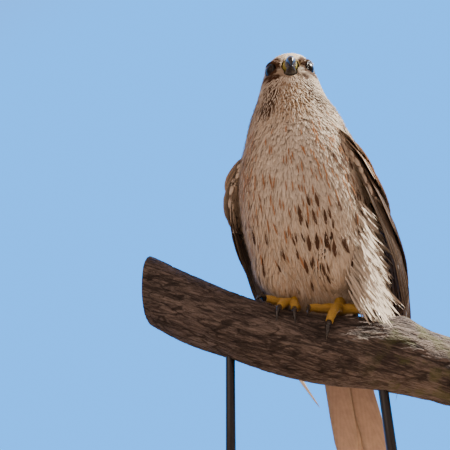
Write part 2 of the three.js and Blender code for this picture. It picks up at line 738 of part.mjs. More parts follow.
const hawk = new THREE.Group();
hawk.add(
  node("stand_base", baseSolid, COLOURS.wood, 0.5),
  ...ROD.places.map((x, i) => node(`stand_rod_${["left", "right"][i]}`, rod(x), COLOURS.metal, 0.35, 0.9)),
  node("perch", perchSolid, COLOURS.bark, 0.9),
  node("torso", torso, COLOURS.breast),
  node("neck", neck, COLOURS.breast),
  node("head", inHawk(head), COLOURS.breast),
  node("cere", inHawk(cereSolid), COLOURS.cere, 0.4),
  node("bill_upper", inHawk(upper), COLOURS.bill, 0.3),
  node("bill_lower", inHawk(lower), COLOURS.bill, 0.3),
  node("eye_left", eyes[0], COLOURS.eye, 0.05),
  node("eye_right", eyes[1], COLOURS.eye, 0.05),
  node("tail", tailSolid, COLOURS.tail),
  ...wings.map(([name, piece]) => node(`wing_${name}`, piece, COLOURS.brown)),
);
for (const { name, thighSolid, footSolid, toes } of legs) {
  hawk.add(node(`thigh_${name}`, thighSolid, COLOURS.breast), node(`foot_${name}`, footSolid, COLOURS.skin, 0.5));
  for (const { digit, toeSolid, clawSolid } of toes)
    hawk.add(
      node(`toe_${name}_${digit}`, toeSolid, COLOURS.skin, 0.5),
      node(`claw_${name}_${digit}`, clawSolid, COLOURS.claw, 0.25),
    );
}

export default hawk;
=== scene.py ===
"""A red-tailed hawk on a cut branch and a plain stand, dressed in feathers over its solids. Metres, +Z up."""

import math

import bmesh
import bpy
import numpy as np
from mathutils import Matrix, Vector, kdtree, noise
from mathutils.bvhtree import BVHTree


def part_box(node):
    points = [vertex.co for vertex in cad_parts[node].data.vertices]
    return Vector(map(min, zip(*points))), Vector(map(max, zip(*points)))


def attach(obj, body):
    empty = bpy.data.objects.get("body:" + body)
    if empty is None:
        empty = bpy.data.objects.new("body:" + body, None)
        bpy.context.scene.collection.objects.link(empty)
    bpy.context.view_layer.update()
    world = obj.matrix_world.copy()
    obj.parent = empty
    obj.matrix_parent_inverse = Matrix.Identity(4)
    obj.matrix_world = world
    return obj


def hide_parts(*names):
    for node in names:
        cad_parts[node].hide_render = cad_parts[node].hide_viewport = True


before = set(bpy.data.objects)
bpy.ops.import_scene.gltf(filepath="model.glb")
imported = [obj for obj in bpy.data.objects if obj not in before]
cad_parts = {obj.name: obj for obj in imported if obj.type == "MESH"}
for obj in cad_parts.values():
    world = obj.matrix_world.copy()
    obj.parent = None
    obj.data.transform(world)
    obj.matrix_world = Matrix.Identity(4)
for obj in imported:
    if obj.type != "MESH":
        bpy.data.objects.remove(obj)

bl_info = {
    "name": "Perched Hawk",
    "version": (1, 0, 0),
    "blender": (4, 5, 0),
    "location": "3D View > Sidebar > Hawk",
    "description": "A still red-tailed hawk on a display stand",
    "category": "Add Mesh",
}

MM = 0.001
FLESH = ["torso", "neck", "head", "thigh_left", "thigh_right"]
TOES = [f"toe_{side}_{digit}" for side in ("left", "right") for digit in ("inner", "middle", "outer", "hind")]
CLAWS = [name.replace("toe", "claw") for name in TOES]

# The hawk's own frame, in millimetres: x to its left, y to its back, z up, from the perch between its feet
PERCH_TOP = 212.0
PERCH_Y = -20.0
PERCH_RADIUS = 36.0
BODY_YAW = math.radians(-20)
HEAD_YAW = math.radians(25)
HEAD_NOD = math.radians(18)
HEAD_CENTRE = (1.5, -20.0, 332.0)
EYE = (22.0, -22.0, 0.5)
EYE_RADIUS = 9.5

HAWK = Matrix.Translation((0, PERCH_Y, PERCH_TOP)) @ Matrix.Rotation(BODY_YAW, 4, "Z")
HEAD = (
    HAWK
    @ Matrix.Translation(HEAD_CENTRE)
    @ Matrix.Rotation(HEAD_YAW, 4, "Z")
    @ Matrix.Rotation(HEAD_NOD, 4, "X")
)

# The folded wing's rails from shoulder to tip: leading edge, outermost line, trailing edge over the back
RAILS = np.array(
    [
        [(33, -28, 246), (65, -38, 214), (90, -28, 155), (93, 5, 84), (80, 54, -2), (43, 114, -86)],
        [(36, 9, 264), (73, 21, 230), (104, 44, 165), (110, 69, 87), (88, 102, -1), (47, 131, -88)],
        [(25, 36, 268), (40, 66, 229), (40, 94, 164), (30, 109, 87), (21, 117, 3), (26, 133, -85)],
    ],
    float,
)
# Which side a wing is on, how far its wrist and hand stand out in millimetres, and up to which v it is pale
WINGS = {
    "left": dict(side=1, wrist=-7.0, hand=12.0, pale=0.1),
    "right": dict(side=-1, wrist=4.0, hand=-1.0, pale=0.66),
}

TAIL_ROOT = np.array([0.0, 64.0, 44.0])
TAIL_DOWN = np.array([0.0, 0.36, -0.93]) / math.hypot(0.36, 0.93)
TAIL_OUT = np.array([0.0, 0.93, 0.36]) / math.hypot(0.36, 0.93)
TAIL_LENGTH = 212.0


class HawkSizes(bpy.types.PropertyGroup):
    """Sizes of the coat and the bark"""

    coat: bpy.props.FloatProperty(
        name="Coat depth",
        description="Depth of the body feathers over the skin",
        default=0.0055,
        unit="LENGTH",
    )
    density: bpy.props.FloatProperty(
        name="Density",
        description="Share of the full number of small feathers",
        default=1.0,
        subtype="FACTOR",
    )
    bark_relief: bpy.props.FloatProperty(
        name="Bark relief",
        description="Depth of the fissures in the bark",
        default=0.0016,
        unit="LENGTH",
    )
    seed: bpy.props.IntProperty(name="Seed", description="Seed of every random choice", default=7)


def colour_property(name, description, default):
    return bpy.props.FloatVectorProperty(
        name=name, description=description, default=default, subtype="COLOR", size=3, min=0, max=1
    )


class HawkColours(bpy.types.PropertyGroup):
    """Colours of the plumage and the bare parts"""

    cream: colour_property("Breast", "Cream of the breast feathers", (0.72, 0.60, 0.46))
    white: colour_property("White", "Palest feathers", (0.82, 0.76, 0.66))
    buff: colour_property("Buff", "Warm buff of throat and thighs", (0.58, 0.41, 0.26))
    rufous: colour_property("Rufous", "Thin streaks of the upper breast", (0.36, 0.17, 0.075))
    streak: colour_property("Streak", "Dark streaks of the belly and the cheek stripe", (0.085, 0.045, 0.026))
    brown: colour_property("Brown", "Back and wings", (0.115, 0.068, 0.040))
    dark: colour_property("Flight feathers", "Darkest wing feathers", (0.040, 0.027, 0.020))
    tail: colour_property("Tail", "Rufous upper side of the tail", (0.36, 0.135, 0.055))
    cere: colour_property("Cere", "Bare skin round the bill's root", (0.50, 0.44, 0.10))
    foot: colour_property("Feet", "Bare skin of the feet", (0.72, 0.44, 0.07))


# Shaping helpers


def mix(a, b, t):
    return a + (b - a) * t


def smooth(low, high, x):
    t = np.clip((np.asarray(x, float) - low) / (high - low), 0, 1)
    return t * t * (3 - 2 * t)


def unit(v):
    return v / np.maximum(np.linalg.norm(v, axis=-1, keepdims=True), 1e-12)


def bell(x, middle, reach):
    return np.exp(-(((np.asarray(x) - middle) / reach) ** 2))


def place(points, matrix):
    """Points in millimetres of a frame, as metres of the part's frame."""
    m = np.array(matrix)
    return (np.asarray(points) @ m[:3, :3].T + m[:3, 3]) * MM


def within(points, matrix):
    """Points in metres of the part's frame, as millimetres of a frame."""
    m = np.array(matrix.inverted())
    return (np.asarray(points) / MM) @ m[:3, :3].T + m[:3, 3]


def turned(vectors, matrix):
    """Directions in a frame, as directions in the part's frame."""
    return vectors @ np.array(matrix)[:3, :3].T


def laid_flat(vectors, normals):
    """Vectors without the part that stands up along the normals."""
    return vectors - normals * np.sum(vectors * normals, axis=1, keepdims=True)


def shades(colours, *names):
    return [np.array(getattr(colours, name)) for name in names]


def varied(colour, low, high, n, random):
    """One colour for each of n feathers, made lighter or darker at random."""
    return np.tile(np.array(colour), (n, 1)) * mix(low, high, random.random(n))[:, None]


def spline(points, t):
    """Catmull-Rom places on one or more lines of points, for every t from 0 to 1."""
    points = np.asarray(points, float)
    last = len(points) - 1
    at = np.clip(t, 0, 1) * last
    i = np.minimum(at.astype(int), last - 1)
    f = (at - i)[:, None]
    p, q, r, s = (points[np.clip(i + k, 0, last)] for k in (-1, 0, 1, 2))
    return 0.5 * (2 * q + (r - p) * f + (2 * p - 5 * q + 4 * r - s) * f**2 + (3 * q - p - 3 * r + s) * f**3)


def new_object(name, mesh):
    obj = bpy.data.objects.new(name, mesh)
    bpy.context.scene.collection.objects.link(obj)
    return obj


def finish_piece(obj, material, nodes=()):
    obj.data.materials.append(material)
    for polygon in obj.data.polygons:
        polygon.use_smooth = True
    if nodes:
        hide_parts(*nodes)
    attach(obj, "root")


def copy_of(nodes, name):
    """One new object that joins copies of CAD nodes."""
    build = bmesh.new()
    for node in nodes:
        build.from_mesh(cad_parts[node].data)
    mesh = bpy.data.meshes.new(name)
    build.to_mesh(mesh)
    build.free()
    return new_object(name, mesh)


def apply_modifier(obj, kind, **settings):
    modifier = obj.modifiers.new(kind.lower(), kind)
    for key, value in settings.items():
        setattr(modifier, key, value)
    bpy.ops.object.select_all(action="DESELECT")
    obj.select_set(True)
    bpy.context.view_layer.objects.active = obj
    bpy.ops.object.modifier_apply(modifier=modifier.name)


def rounded(nodes, name, voxel, rounds):
    """CAD nodes as one finer, softer skin."""
    obj = copy_of(nodes, name)
    apply_modifier(obj, "REMESH", mode="VOXEL", voxel_size=voxel, adaptivity=0)
    apply_modifier(obj, "SMOOTH", factor=0.5, iterations=rounds)
    return obj


def tube_faces(rings, size):
    """Faces of a tube whose points run round one ring after another."""
    return [
        (i * size + j, i * size + (j + 1) % size, (i + 1) * size + (j + 1) % size, (i + 1) * size + j)
        for i in range(rings - 1)
        for j in range(size)
    ]


# Feathers as closed thin bodies, all of one kind in one go


def strips(name, loop, normals, across, under, tone, mark, unwrap, patch):
    """One mesh of closed strips.

    loop holds (feather, ring, place round the ring, xyz) in metres, and across is u for each place round the
    ring. under is the colour of each feather's lower side, or None where it is the upper side's.
    """
    count, rings, size, _ = loop.shape
    faces = tube_faces(rings, size)
    for start, order in ((0, -1), ((rings - 1) * size, 1)):
        for j in range(size // 2 - 1):
            face = (start + j, start + j + 1, start + size - 2 - j, start + size - 1 - j)
            faces.append(face[::order])
    faces = np.array(faces)
    every = (faces[None] + (np.arange(count) * rings * size)[:, None, None]).reshape(-1, 4)
    verts = loop.reshape(-1, 3)
    mesh = bpy.data.meshes.new(name)
    mesh.vertices.add(len(verts))
    mesh.vertices.foreach_set("co", verts.astype(np.float32).ravel())
    mesh.loops.add(every.size)
    mesh.loops.foreach_set("vertex_index", every.astype(np.int32).ravel())
    mesh.polygons.add(len(every))
    mesh.polygons.foreach_set("loop_start", (np.arange(len(every)) * 4).astype(np.int32))
    mesh.update(calc_edges=True)
    share = np.linspace(0, 1, rings)
    local = np.stack(np.broadcast_arrays(across[None, :], share[:, None]), axis=-1).reshape(-1, 2)
    corner = every.ravel()
    vane = np.tile(local, (count, 1))[corner]
    mesh.uv_layers.new(name="vane").data.foreach_set("uv", vane.astype(np.float32).ravel())
    bake = unwrap[corner // (rings * size)] + (vane - 0.5) * patch
    mesh.uv_layers.new(name="OFBake").data.foreach_set("uv", bake.astype(np.float32).ravel())
    mesh.uv_layers["vane"].active_render = True
    below = np.tile(np.arange(size) >= size // 2, count * rings)
    for label, values in (("tone", tone), ("mark", mark)):
        full = np.ones((len(verts), 4), np.float32)
        full[:, : values.shape[1]] = np.repeat(values, rings * size, axis=0)
        if under is not None and label == "tone":
            full[below, :3] = np.repeat(under, rings * size, axis=0)[below]
        mesh.attributes.new(label, "FLOAT_COLOR", "POINT").data.foreach_set("color", full.ravel())
    obj = new_object(name, mesh)
    if normals is not None:
        mesh.polygons.foreach_set("use_smooth", np.ones(len(every), bool))
        mesh.normals_split_custom_set_from_vertices(normals.reshape(-1, 3))
    return obj


VANE_THICK = 0.0005
PLUME_THICK = 0.0002
COVERT_THICK = 0.00024
RUMP_THICK = 0.0003
END_THINNESS = 0.35


def vane_mesh(name, grid, out, tone, mark, unwrap, under, patch=0.02):
    """Large feathers from their middle sheets: grid is (feather, ring, column, xyz), out the way up there."""
    _, rings, columns, _ = grid.shape
    body = np.ones(rings)
    body[0] = body[-1] = END_THINNESS
    half = (VANE_THICK * body)[None, :, None, None] / 2
    loop = np.concatenate([grid + out * half, (grid - out * half)[:, :, ::-1]], axis=2)
    across = np.linspace(0, 1, columns)
    return strips(name, loop, None, np.concatenate([across, across[::-1]]), under, tone, mark, unwrap, patch)


def plume_mesh(name, grid, out, tone, mark, unwrap, thick=PLUME_THICK):
    """Small feathers of three columns, thin at both edges and lit as the coat they lie in."""
    edge, middle, far = grid[:, :, 0], grid[:, :, 1], grid[:, :, 2]
    loop = np.stack([edge, middle, far, middle - out[:, :, 1] * thick], axis=2)
    way = unit(grid[:, -1, 1] - grid[:, 0, 1])[:, None]
    lit = np.stack([out[:, :, 0], out[:, :, 1], out[:, :, 2], unit(0.9 * way - 0.45 * out[:, :, 1])], axis=2)
    return strips(name, loop, lit, np.array([0, 0.5, 1, 0.5]), None, tone, mark, unwrap, 0.003)


# Outlines of the small feathers: share of the length, and share of the greatest width there
PLUME = np.array([(0, 0.5), (0.3, 0.95), (0.6, 1.0), (0.85, 0.66), (1, 0.06)])
LANCE = np.array([(0, 0.25), (0.3, 0.6), (0.62, 1.0), (0.86, 0.66), (1, 0.04)])
WISP = np.array([(0, 0.8), (0.4, 1.0), (0.8, 0.7), (1, 0.1)])


def lay_plumes(tree, roots, normals, flow, length, width, low, high, outline):
    """Places and ways up of feathers along a surface: low and high are their heights at root and tip."""
    count, rings = len(roots), len(outline)
    steps = np.diff(outline[:, 0], prepend=0)
    points, ups, ways = roots.copy(), normals.copy(), flow.copy()
    grid = np.zeros((count, rings, 3, 3))
    out = np.zeros_like(grid)
    for i in range(rings):
        if steps[i] > 0:
            ahead = points + ways * (length * steps[i])[:, None]
            for k in range(count):
                point, normal, _, _ = tree.find_nearest(ahead[k])
                points[k] = point
                ups[k] = 0.5 * ups[k] + 0.5 * np.array(normal)
            ups = unit(ups)
            ways = unit(laid_flat(ways, ups))
        side = np.cross(ways, ups)
        s = outline[i, 0]
        height = mix(low, high, s)
        for j, a in enumerate((-1, 0, 1)):
            reach = a * width * outline[i, 1]
            lift = height - 0.2 * np.abs(reach) * abs(a)
            grid[:, i, j] = points + side * reach[:, None] + ups * lift[:, None]
            out[:, i, j] = unit(ups + side * (0.22 * a))
    return grid, out


# Points tried for each square as wide as the gap
TRIES = 3.2
NEIGHBOURS = [(i, j, k) for i in (-1, 0, 1) for j in (-1, 0, 1) for k in (-1, 0, 1)]


def scatter(mesh, spacing, random):
    """Points on a mesh no closer than spacing(points), with their face normals."""
    mesh.calc_loop_triangles()
    tris = np.array([t.vertices for t in mesh.loop_triangles])
    co = np.array([v.co for v in mesh.vertices])
    a, b, c = (co[tris[:, k]] for k in range(3))
    cross = np.cross(b - a, c - a)
    area = np.linalg.norm(cross, axis=1) / 2
    gap = spacing((a + b + c) / 3)
    weight = np.where(gap > 0, area / np.maximum(gap, 1e-6) ** 2, 0)
    wanted = int(weight.sum() * TRIES)
    pick = random.choice(len(tris), wanted, p=weight / weight.sum())
    r, s = np.sqrt(random.random(wanted)), random.random(wanted)
    points = a[pick] * (1 - r)[:, None] + b[pick] * (r * (1 - s))[:, None] + c[pick] * (r * s)[:, None]
    normals = unit(cross[pick])
    gap = spacing(points)
    cells = {}
    kept = []
    keys = np.floor(points / float(gap.max())).astype(int)

    def free(k):
        """Whether no kept point lies closer to point k than its gap."""
        x, y, z = keys[k]
        for i, j, m in NEIGHBOURS:
            for q in cells.get((x + i, y + j, z + m), ()):
                d = points[q] - points[k]
                if d[0] * d[0] + d[1] * d[1] + d[2] * d[2] < gap[k] * gap[k]:
                    return False
        return True

    for k in range(wanted):
        if gap[k] > 0 and free(k):
            cells.setdefault(tuple(keys[k]), []).append(k)
            kept.append(k)
    return points[kept], normals[kept]


# Shader graphs


class Graph:
    """Short ways to add nodes to a material or a node group."""

    def __init__(self, tree):
        self.tree = tree

    def node(self, kind, inputs=None, **settings):
        made = self.tree.nodes.new(kind)
        for key, value in settings.items():
            setattr(made, key, value)
        for key, value in (inputs or {}).items():
            self.feed(made.inputs[key], value)
        return made

    def feed(self, socket, value):
        if isinstance(value, bpy.types.NodeSocket):
            self.tree.links.new(value, socket)
        else:
            socket.default_value = value

    def math(self, operation, *values, clamp=False):
        made = self.node("ShaderNodeMath", dict(enumerate(values)), operation=operation, use_clamp=clamp)
        return made.outputs[0]

    def step(self, low, high, value, to_low=0.0, to_high=1.0):
        inputs = {"Value": value, "From Min": low, "From Max": high, "To Min": to_low, "To Max": to_high}
        return self.node("ShaderNodeMapRange", inputs, interpolation_type="SMOOTHSTEP").outputs[0]

    def mix(self, factor, a, b, blend="MIX"):
        made = self.node("ShaderNodeMix", data_type="RGBA", blend_type=blend)
        for socket, value in zip((made.inputs[0], made.inputs[6], made.inputs[7]), (factor, a, b)):
            self.feed(socket, value)
        return made.outputs[2]

    def noise(self, vector, scale, detail=3.0, rough=0.55):
        inputs = {"Vector": vector, "Scale": scale, "Detail": detail, "Roughness": rough}
        return self.node("ShaderNodeTexNoise", inputs).outputs[0]

    def scaled(self, vector, scale):
        return self.node("ShaderNodeMapping", {"Vector": vector, "Scale": scale}).outputs[0]

    def place(self):
        return self.node("ShaderNodeTexCoord").outputs["Object"]

    def bump(self, height, strength, distance):
        inputs = {"Height": height, "Strength": strength, "Distance": distance}
        return self.node("ShaderNodeBump", inputs).outputs[0]

    def times(self, a, b):
        return self.math("MULTIPLY", a, b)

    def value_of(self, name):
        """A number stored on the mesh."""
        return self.node("ShaderNodeAttribute", attribute_name=name).outputs["Fac"]

    def tint(self, colour, amount, share, stain):
        """A colour with a stain over it, as far as amount times share says."""
        return self.mix(self.times(amount, share), colour, rgba(stain))


def rgba(colour):
    return (*colour, 1.0)


def new_material(name):
    material = bpy.data.materials.new(name)
    material.use_nodes = True
    graph = Graph(material.node_tree)
    return material, graph, material.node_tree.nodes["Principled BSDF"].inputs


def tune(shader, values):
    for key, value in values.items():
        shader[key].default_value = value


# What the feather pattern is told where a kind of feather doesn't say otherwise
PATTERN = {
    "Streak": 0.0,
    "Bars": 0.0,
    "Bar Strength": 0.0,
    "Fringe": 0.0,
    "Fringe Colour": (0.5, 0.4, 0.3),
    "Tip Band": 0.0,
    "Barbs": 90.0,
    "Root Shade": 0.7,
}
BAND_COLOUR = (0.03, 0.018, 0.012)
BARB_RELIEF = 0.00012


def pattern_group():
    """What every feather shows: shaft, barbs, a streak down its middle, bars across it and a pale fringe."""
    tree = bpy.data.node_groups.new("FeatherPattern", "ShaderNodeTree")
    for name, value in PATTERN.items():
        kind = "NodeSocketColor" if isinstance(value, tuple) else "NodeSocketFloat"
        tree.interface.new_socket(name, in_out="INPUT", socket_type=kind)
    tree.interface.new_socket("Colour", in_out="OUTPUT", socket_type="NodeSocketColor")
    tree.interface.new_socket("Height", in_out="OUTPUT", socket_type="NodeSocketFloat")
    g = Graph(tree)
    given = g.node("NodeGroupInput").outputs
    uv = g.node("ShaderNodeUVMap", uv_map="vane").outputs[0]
    u, v, _ = g.node("ShaderNodeSeparateXYZ", {0: uv}).outputs
    tone = g.node("ShaderNodeAttribute", attribute_name="tone").outputs["Color"]
    mark = g.node("ShaderNodeAttribute", attribute_name="mark")
    side = g.math("ABSOLUTE", g.math("MULTIPLY_ADD", u, 2.0, -1.0))
    here = g.place()
    speckle = g.noise(here, 900.0, 2.0)
    ragged = g.math("MULTIPLY_ADD", speckle, 0.5, -0.25)
    barb = g.math("MULTIPLY_ADD", side, -0.35, v)
    lines = g.math("SINE", g.times(barb, given["Barbs"]))
    lines = g.math("MULTIPLY_ADD", lines, 0.5, 0.5)
    # A drop-shaped streak, widest over its outer half
    wide = g.times(mark.outputs["Alpha"], g.step(0.02, 0.45, v))
    wide = g.times(wide, g.step(1.02, 0.84, v))
    streak = g.step(-0.12, 0.12, g.math("ADD", g.math("SUBTRACT", wide, side), ragged))
    streak = g.times(streak, given["Streak"])
    # Bars across the vane, and a band near its tip
    wavy = g.math("ADD", barb, g.times(ragged, 0.06))
    wave = g.math("SINE", g.times(wavy, given["Bars"]))
    bars = g.times(g.step(-0.1, 0.5, wave), given["Bar Strength"])
    bars = g.times(bars, mark.outputs["Alpha"])
    band = g.times(g.step(0.90, 0.915, v), g.step(0.965, 0.95, v))
    band = g.times(band, given["Tip Band"])
    colour = g.mix(streak, tone, mark.outputs["Color"])
    colour = g.mix(bars, colour, mark.outputs["Color"])
    colour = g.mix(band, colour, rgba(BAND_COLOUR))
    rim = g.math("MAXIMUM", g.math("ADD", side, g.times(ragged, 0.4)), g.step(0.86, 1.0, v))
    rim = g.times(g.step(0.72, 0.98, rim), given["Fringe"])
    colour = g.mix(rim, colour, given["Fringe Colour"])
    shade = g.math("MULTIPLY_ADD", lines, 0.16, 0.9)
    shade = g.times(shade, g.math("MULTIPLY_ADD", g.noise(here, 130.0, 3.0), 0.5, 0.76))
    # Painted shade: each feather is darker towards its root, where the feathers lying over it shade it.
    shade = g.times(shade, g.step(0.0, 0.7, v, given["Root Shade"], 1.0))
    grey = g.node("ShaderNodeCombineColor", {0: shade, 1: shade, 2: shade}).outputs[0]
    colour = g.mix(1.0, colour, grey, "MULTIPLY")
    shaft = g.step(0.12, 0.0, side)
    height = g.math("ADD", g.times(lines, 0.5), shaft)
    g.node("NodeGroupOutput", {"Colour": colour, "Height": height})
    return tree


def feather_material(name, rough=0.8, sheen=0.0, **pattern):
    """A material with the feather pattern, whose inputs are given as bar_strength for Bar Strength."""
    material, g, shader = new_material(name)
    tree = bpy.data.node_groups.get("FeatherPattern") or pattern_group()
    group = g.node("ShaderNodeGroup", node_tree=tree)
    given = PATTERN | {key.replace("_", " ").title(): value for key, value in pattern.items()}
    tune(group.inputs, given | {"Fringe Colour": rgba(given["Fringe Colour"])})
    g.feed(shader["Base Color"], group.outputs["Colour"])
    g.feed(shader["Normal"], g.bump(group.outputs["Height"], 0.5, BARB_RELIEF))
    tune(shader, {"Roughness": rough, "Sheen Weight": sheen, "Sheen Roughness": 0.5})
    tune(shader, {"Specular IOR Level": 0.08})
    return material


# The skin and the small feathers


def skin_depth(points, coat):
    """How far the skin lies under the solids' surface: shallow on the face, deep on the belly."""
    z = within(points, HAWK)[:, 2]
    depth = coat * mix(1.0, 0.6, smooth(215, 258, z))
    depth = depth * mix(1.0, 0.55, smooth(270, 318, z))
    return depth * mix(0.55, 1.0, smooth(8, 45, z))


def make_skin(sizes):
    obj = rounded(FLESH, "skin", 0.0022, 12)
    mesh = obj.data
    co = np.array([v.co for v in mesh.vertices])
    normals = np.array([v.normal for v in mesh.vertices])
    co -= normals * skin_depth(co, sizes.coat)[:, None]
    mesh.vertices.foreach_set("co", co.astype(np.float32).ravel())
    mesh.update()
    return obj


def body_flow(points, normals):
    """Which way the small feathers lie: down the body, and back from the bill over the head."""
    p = within(points, HAWK)
    h = within(points, HEAD)
    down = np.tile([0.0, 0.22, -1.0], (len(p), 1))
    down[:, 0] = 0.14 * np.sign(p[:, 0]) * smooth(10, 60, np.abs(p[:, 0])) * smooth(20, 120, p[:, 2])
    vent = smooth(60, 0, p[:, 2]) * smooth(0, 40, p[:, 1])
    down += vent[:, None] * np.array([0, 0.8, 0.2])
    away = unit(h - np.array([0.0, -48.0, -4.0]))
    away += np.array([0.0, 0.25, -0.5]) * (1 - 0.7 * smooth(0, 20, h[:, 2]))[:, None]
    on_head = smooth(278, 312, p[:, 2])[:, None]
    flow = turned(down, HAWK) * (1 - on_head) + turned(away, HEAD) * on_head
    return unit(laid_flat(flow, normals))


def around(points):
    """Turn from the body's front in degrees, positive to its left, and height over the perch."""
    p = within(points, HAWK)
    middle = mix(8.0, -20.0, smooth(60, 300, p[:, 2]))
    return np.degrees(np.arctan2(p[:, 0], -(p[:, 1] - middle))), p[:, 2]


def from_eyes(h, over=0.0):
    """Distance to the nearer eye's centre, or to a place over it, for points in the head's frame."""
    centres = [np.array([side * EYE[0], EYE[1], EYE[2] + over]) for side in (1, -1)]
    return np.min([np.linalg.norm(h - centre, axis=1) for centre in centres], axis=0)


def bare(points):
    """Where no feather grows: the eyes and the skin round the bill."""
    h = within(points, HEAD)
    face = (h[:, 1] < -30) & (np.abs(h[:, 0]) < 11.5) & (np.abs(h[:, 2] + 1) < 9)
    gape = (np.abs(h[:, 2] + 7) < 1.8) & (h[:, 1] < -20) & (np.abs(h[:, 0]) < 17)
    return (from_eyes(h) < 10.6) | face | gape


def body_spacing(density):
    def spacing(points):
        turn, z = around(points)
        h = within(points, HEAD)
        gap = mix(3.2, 2.4, smooth(225, 290, z))
        gap = mix(gap, 1.8, smooth(290, 318, z))
        gap = mix(gap, 5.0, smooth(105, 135, np.abs(turn)) * smooth(260, 200, z))
        gap = mix(gap, 2.7, smooth(40, 5, z))
        gap = np.where((z > 296) & (h[:, 1] < -24), 1.4, gap)
        return np.where(bare(points) | (z < 4), -1.0, gap / math.sqrt(density) * MM)

    return spacing


def face_share(points):
    """Where the short feathers of the face grow, from 0 to 1."""
    h = within(points, HEAD)
    return smooth(300, 308, within(points, HAWK)[:, 2]) * smooth(-20, -32, h[:, 1])


def body_size(points, random):
    """Length and half width of each small feather."""
    z = around(points)[1]
    face = face_share(points)
    length = mix(21.0, 14.0, smooth(200, 285, z))
    length = mix(length, 9.0, smooth(285, 320, z))
    length = mix(length, 5.0, face)
    length = mix(length, 13.0, smooth(45, 12, z)) * mix(0.85, 1.15, random.random(len(z)))
    width = mix(2.9, 2.2, smooth(200, 285, z))
    width = mix(width, 1.5, smooth(285, 320, z))
    width = mix(width, 1.0, face)
    return length * MM, width * MM


def body_tone(points, random, colours):
    """Colour of each small feather, from where it grows."""
    turn, z = around(points)
    h = within(points, HEAD)
    side = np.abs(h[:, 0])
    n = len(points)
    tone = np.tile(np.array(colours.cream), (n, 1))

    def paint(name, amount):
        tone[:] = tone + (np.array(getattr(colours, name)) - tone) * np.clip(amount, 0, 1)[:, None]

    paint("white", 0.6 * smooth(90, 140, z) * smooth(250, 200, z) * bell(turn, 18, 40))
    # Painted shade: the front of the lower belly turns darker buff towards the bottom, where less light
    # reaches under the body.
    paint("buff", 0.6 * smooth(85, 25, z) * smooth(75, 30, np.abs(turn)))
    paint("buff", 0.38 * smooth(120, 60, z) * smooth(20, 45, z) * bell(turn, -20, 40))
    paint("buff", 0.45 * smooth(225, 265, z) * smooth(310, 290, z))
    paint("buff", 0.35 * smooth(-8, -40, turn) * smooth(60, 120, z) * smooth(260, 220, z))
    back = smooth(100, 122, np.abs(turn)) * smooth(20, 60, z)
    paint("brown", back)
    # The head: brown crown, nape and cheeks, a pale forehead, and a dark stripe down from the gape
    on_head = smooth(240, 262, z)
    top = smooth(8, 18, h[:, 2])
    paint("brown", 0.4 * top * smooth(-34, -14, h[:, 1]) * on_head)
    paint("brown", 0.75 * smooth(232, 262, z) * smooth(0, 14, h[:, 1] + 0.15 * side))
    paint("brown", 0.6 * smooth(16, 28, side) * smooth(-36, -14, h[:, 1]) * smooth(10, -6, h[:, 2]) * on_head)
    throat = smooth(-12, -20, h[:, 2]) * smooth(-92, -62, h[:, 2]) * smooth(26, 12, side)
    paint("buff", 0.85 * throat)
    paint("brown", 0.34 * throat)
    paint("white", 0.75 * smooth(-24, -34, h[:, 1]) * smooth(-10, -2, h[:, 2]) * on_head)
    middle = np.where(h[:, 0] > 0, 16, 20) + 0.26 * (-h[:, 2] - 17)
    stripe = bell(side, middle, 8.5) * smooth(-6, -14, h[:, 2])
    stripe = stripe * smooth(-82, -58, h[:, 2]) * smooth(8, -6, h[:, 1])
    paint("streak", 1.9 * stripe * np.where(h[:, 0] > 0, 0.5, 0.9))
    # A dark patch round each eye: partly the dark feathering there, partly painted shade under the brow
    # ridge.
    paint("streak", 1.2 * smooth(20.5, 15.0, from_eyes(h, 1)))
    tone *= mix(0.88, 1.08, random.random(n))[:, None]
    return tone


def unwrap_body(points):
    """Each point's place on a cylinder's unwrap of the body."""
    turn, z = around(points)
    return np.stack([0.5 + turn / 360 * 0.98, np.clip(0.02 + z / 384 * 0.96, 0.01, 0.99)], axis=1)


def tree_of(obj):
    build = bmesh.new()
    build.from_mesh(obj.data)
    tree = BVHTree.FromBMesh(build)
    build.free()
    return tree


# Heights over the perch at which the coat is parted into pieces
BANDS = [400, 305, 262, 215, 172, 132, 95, 58, -20]


def dress_body(skin, tree, sizes, colours, random):
    """The coat of small feathers, laid from the top down in bands."""
    material = feather_material("body_feather", barbs=110.0, root_shade=0.9)
    roots, normals = scatter(skin.data, body_spacing(sizes.density), random)
    order = np.argsort(-roots[:, 2] + 0.002 * random.random(len(roots)))
    roots, normals = roots[order], normals[order]
    length, width = body_size(roots, random)
    tone = body_tone(roots, random, colours)
    flow = body_flow(roots, normals)
    flow = unit(flow + 0.08 * random.standard_normal(flow.shape))
    depth = skin_depth(roots, sizes.coat)
    high = depth * mix(0.74, 0.96, random.random(len(roots)))
    z = within(roots, HAWK)[:, 2]
    grid, out = lay_plumes(tree, roots, normals, flow, length, width, -0.1 * depth, high, PLUME)
    blank = np.zeros((len(roots), 4))
    spread = unwrap_body(roots)
    for k, (top, bottom) in enumerate(zip(BANDS, BANDS[1:])):
        band = [part[(z <= top) & (z > bottom)] for part in (grid, out, tone, blank, spread)]
        finish_piece(plume_mesh(f"coat_{k + 1}", *band), material)


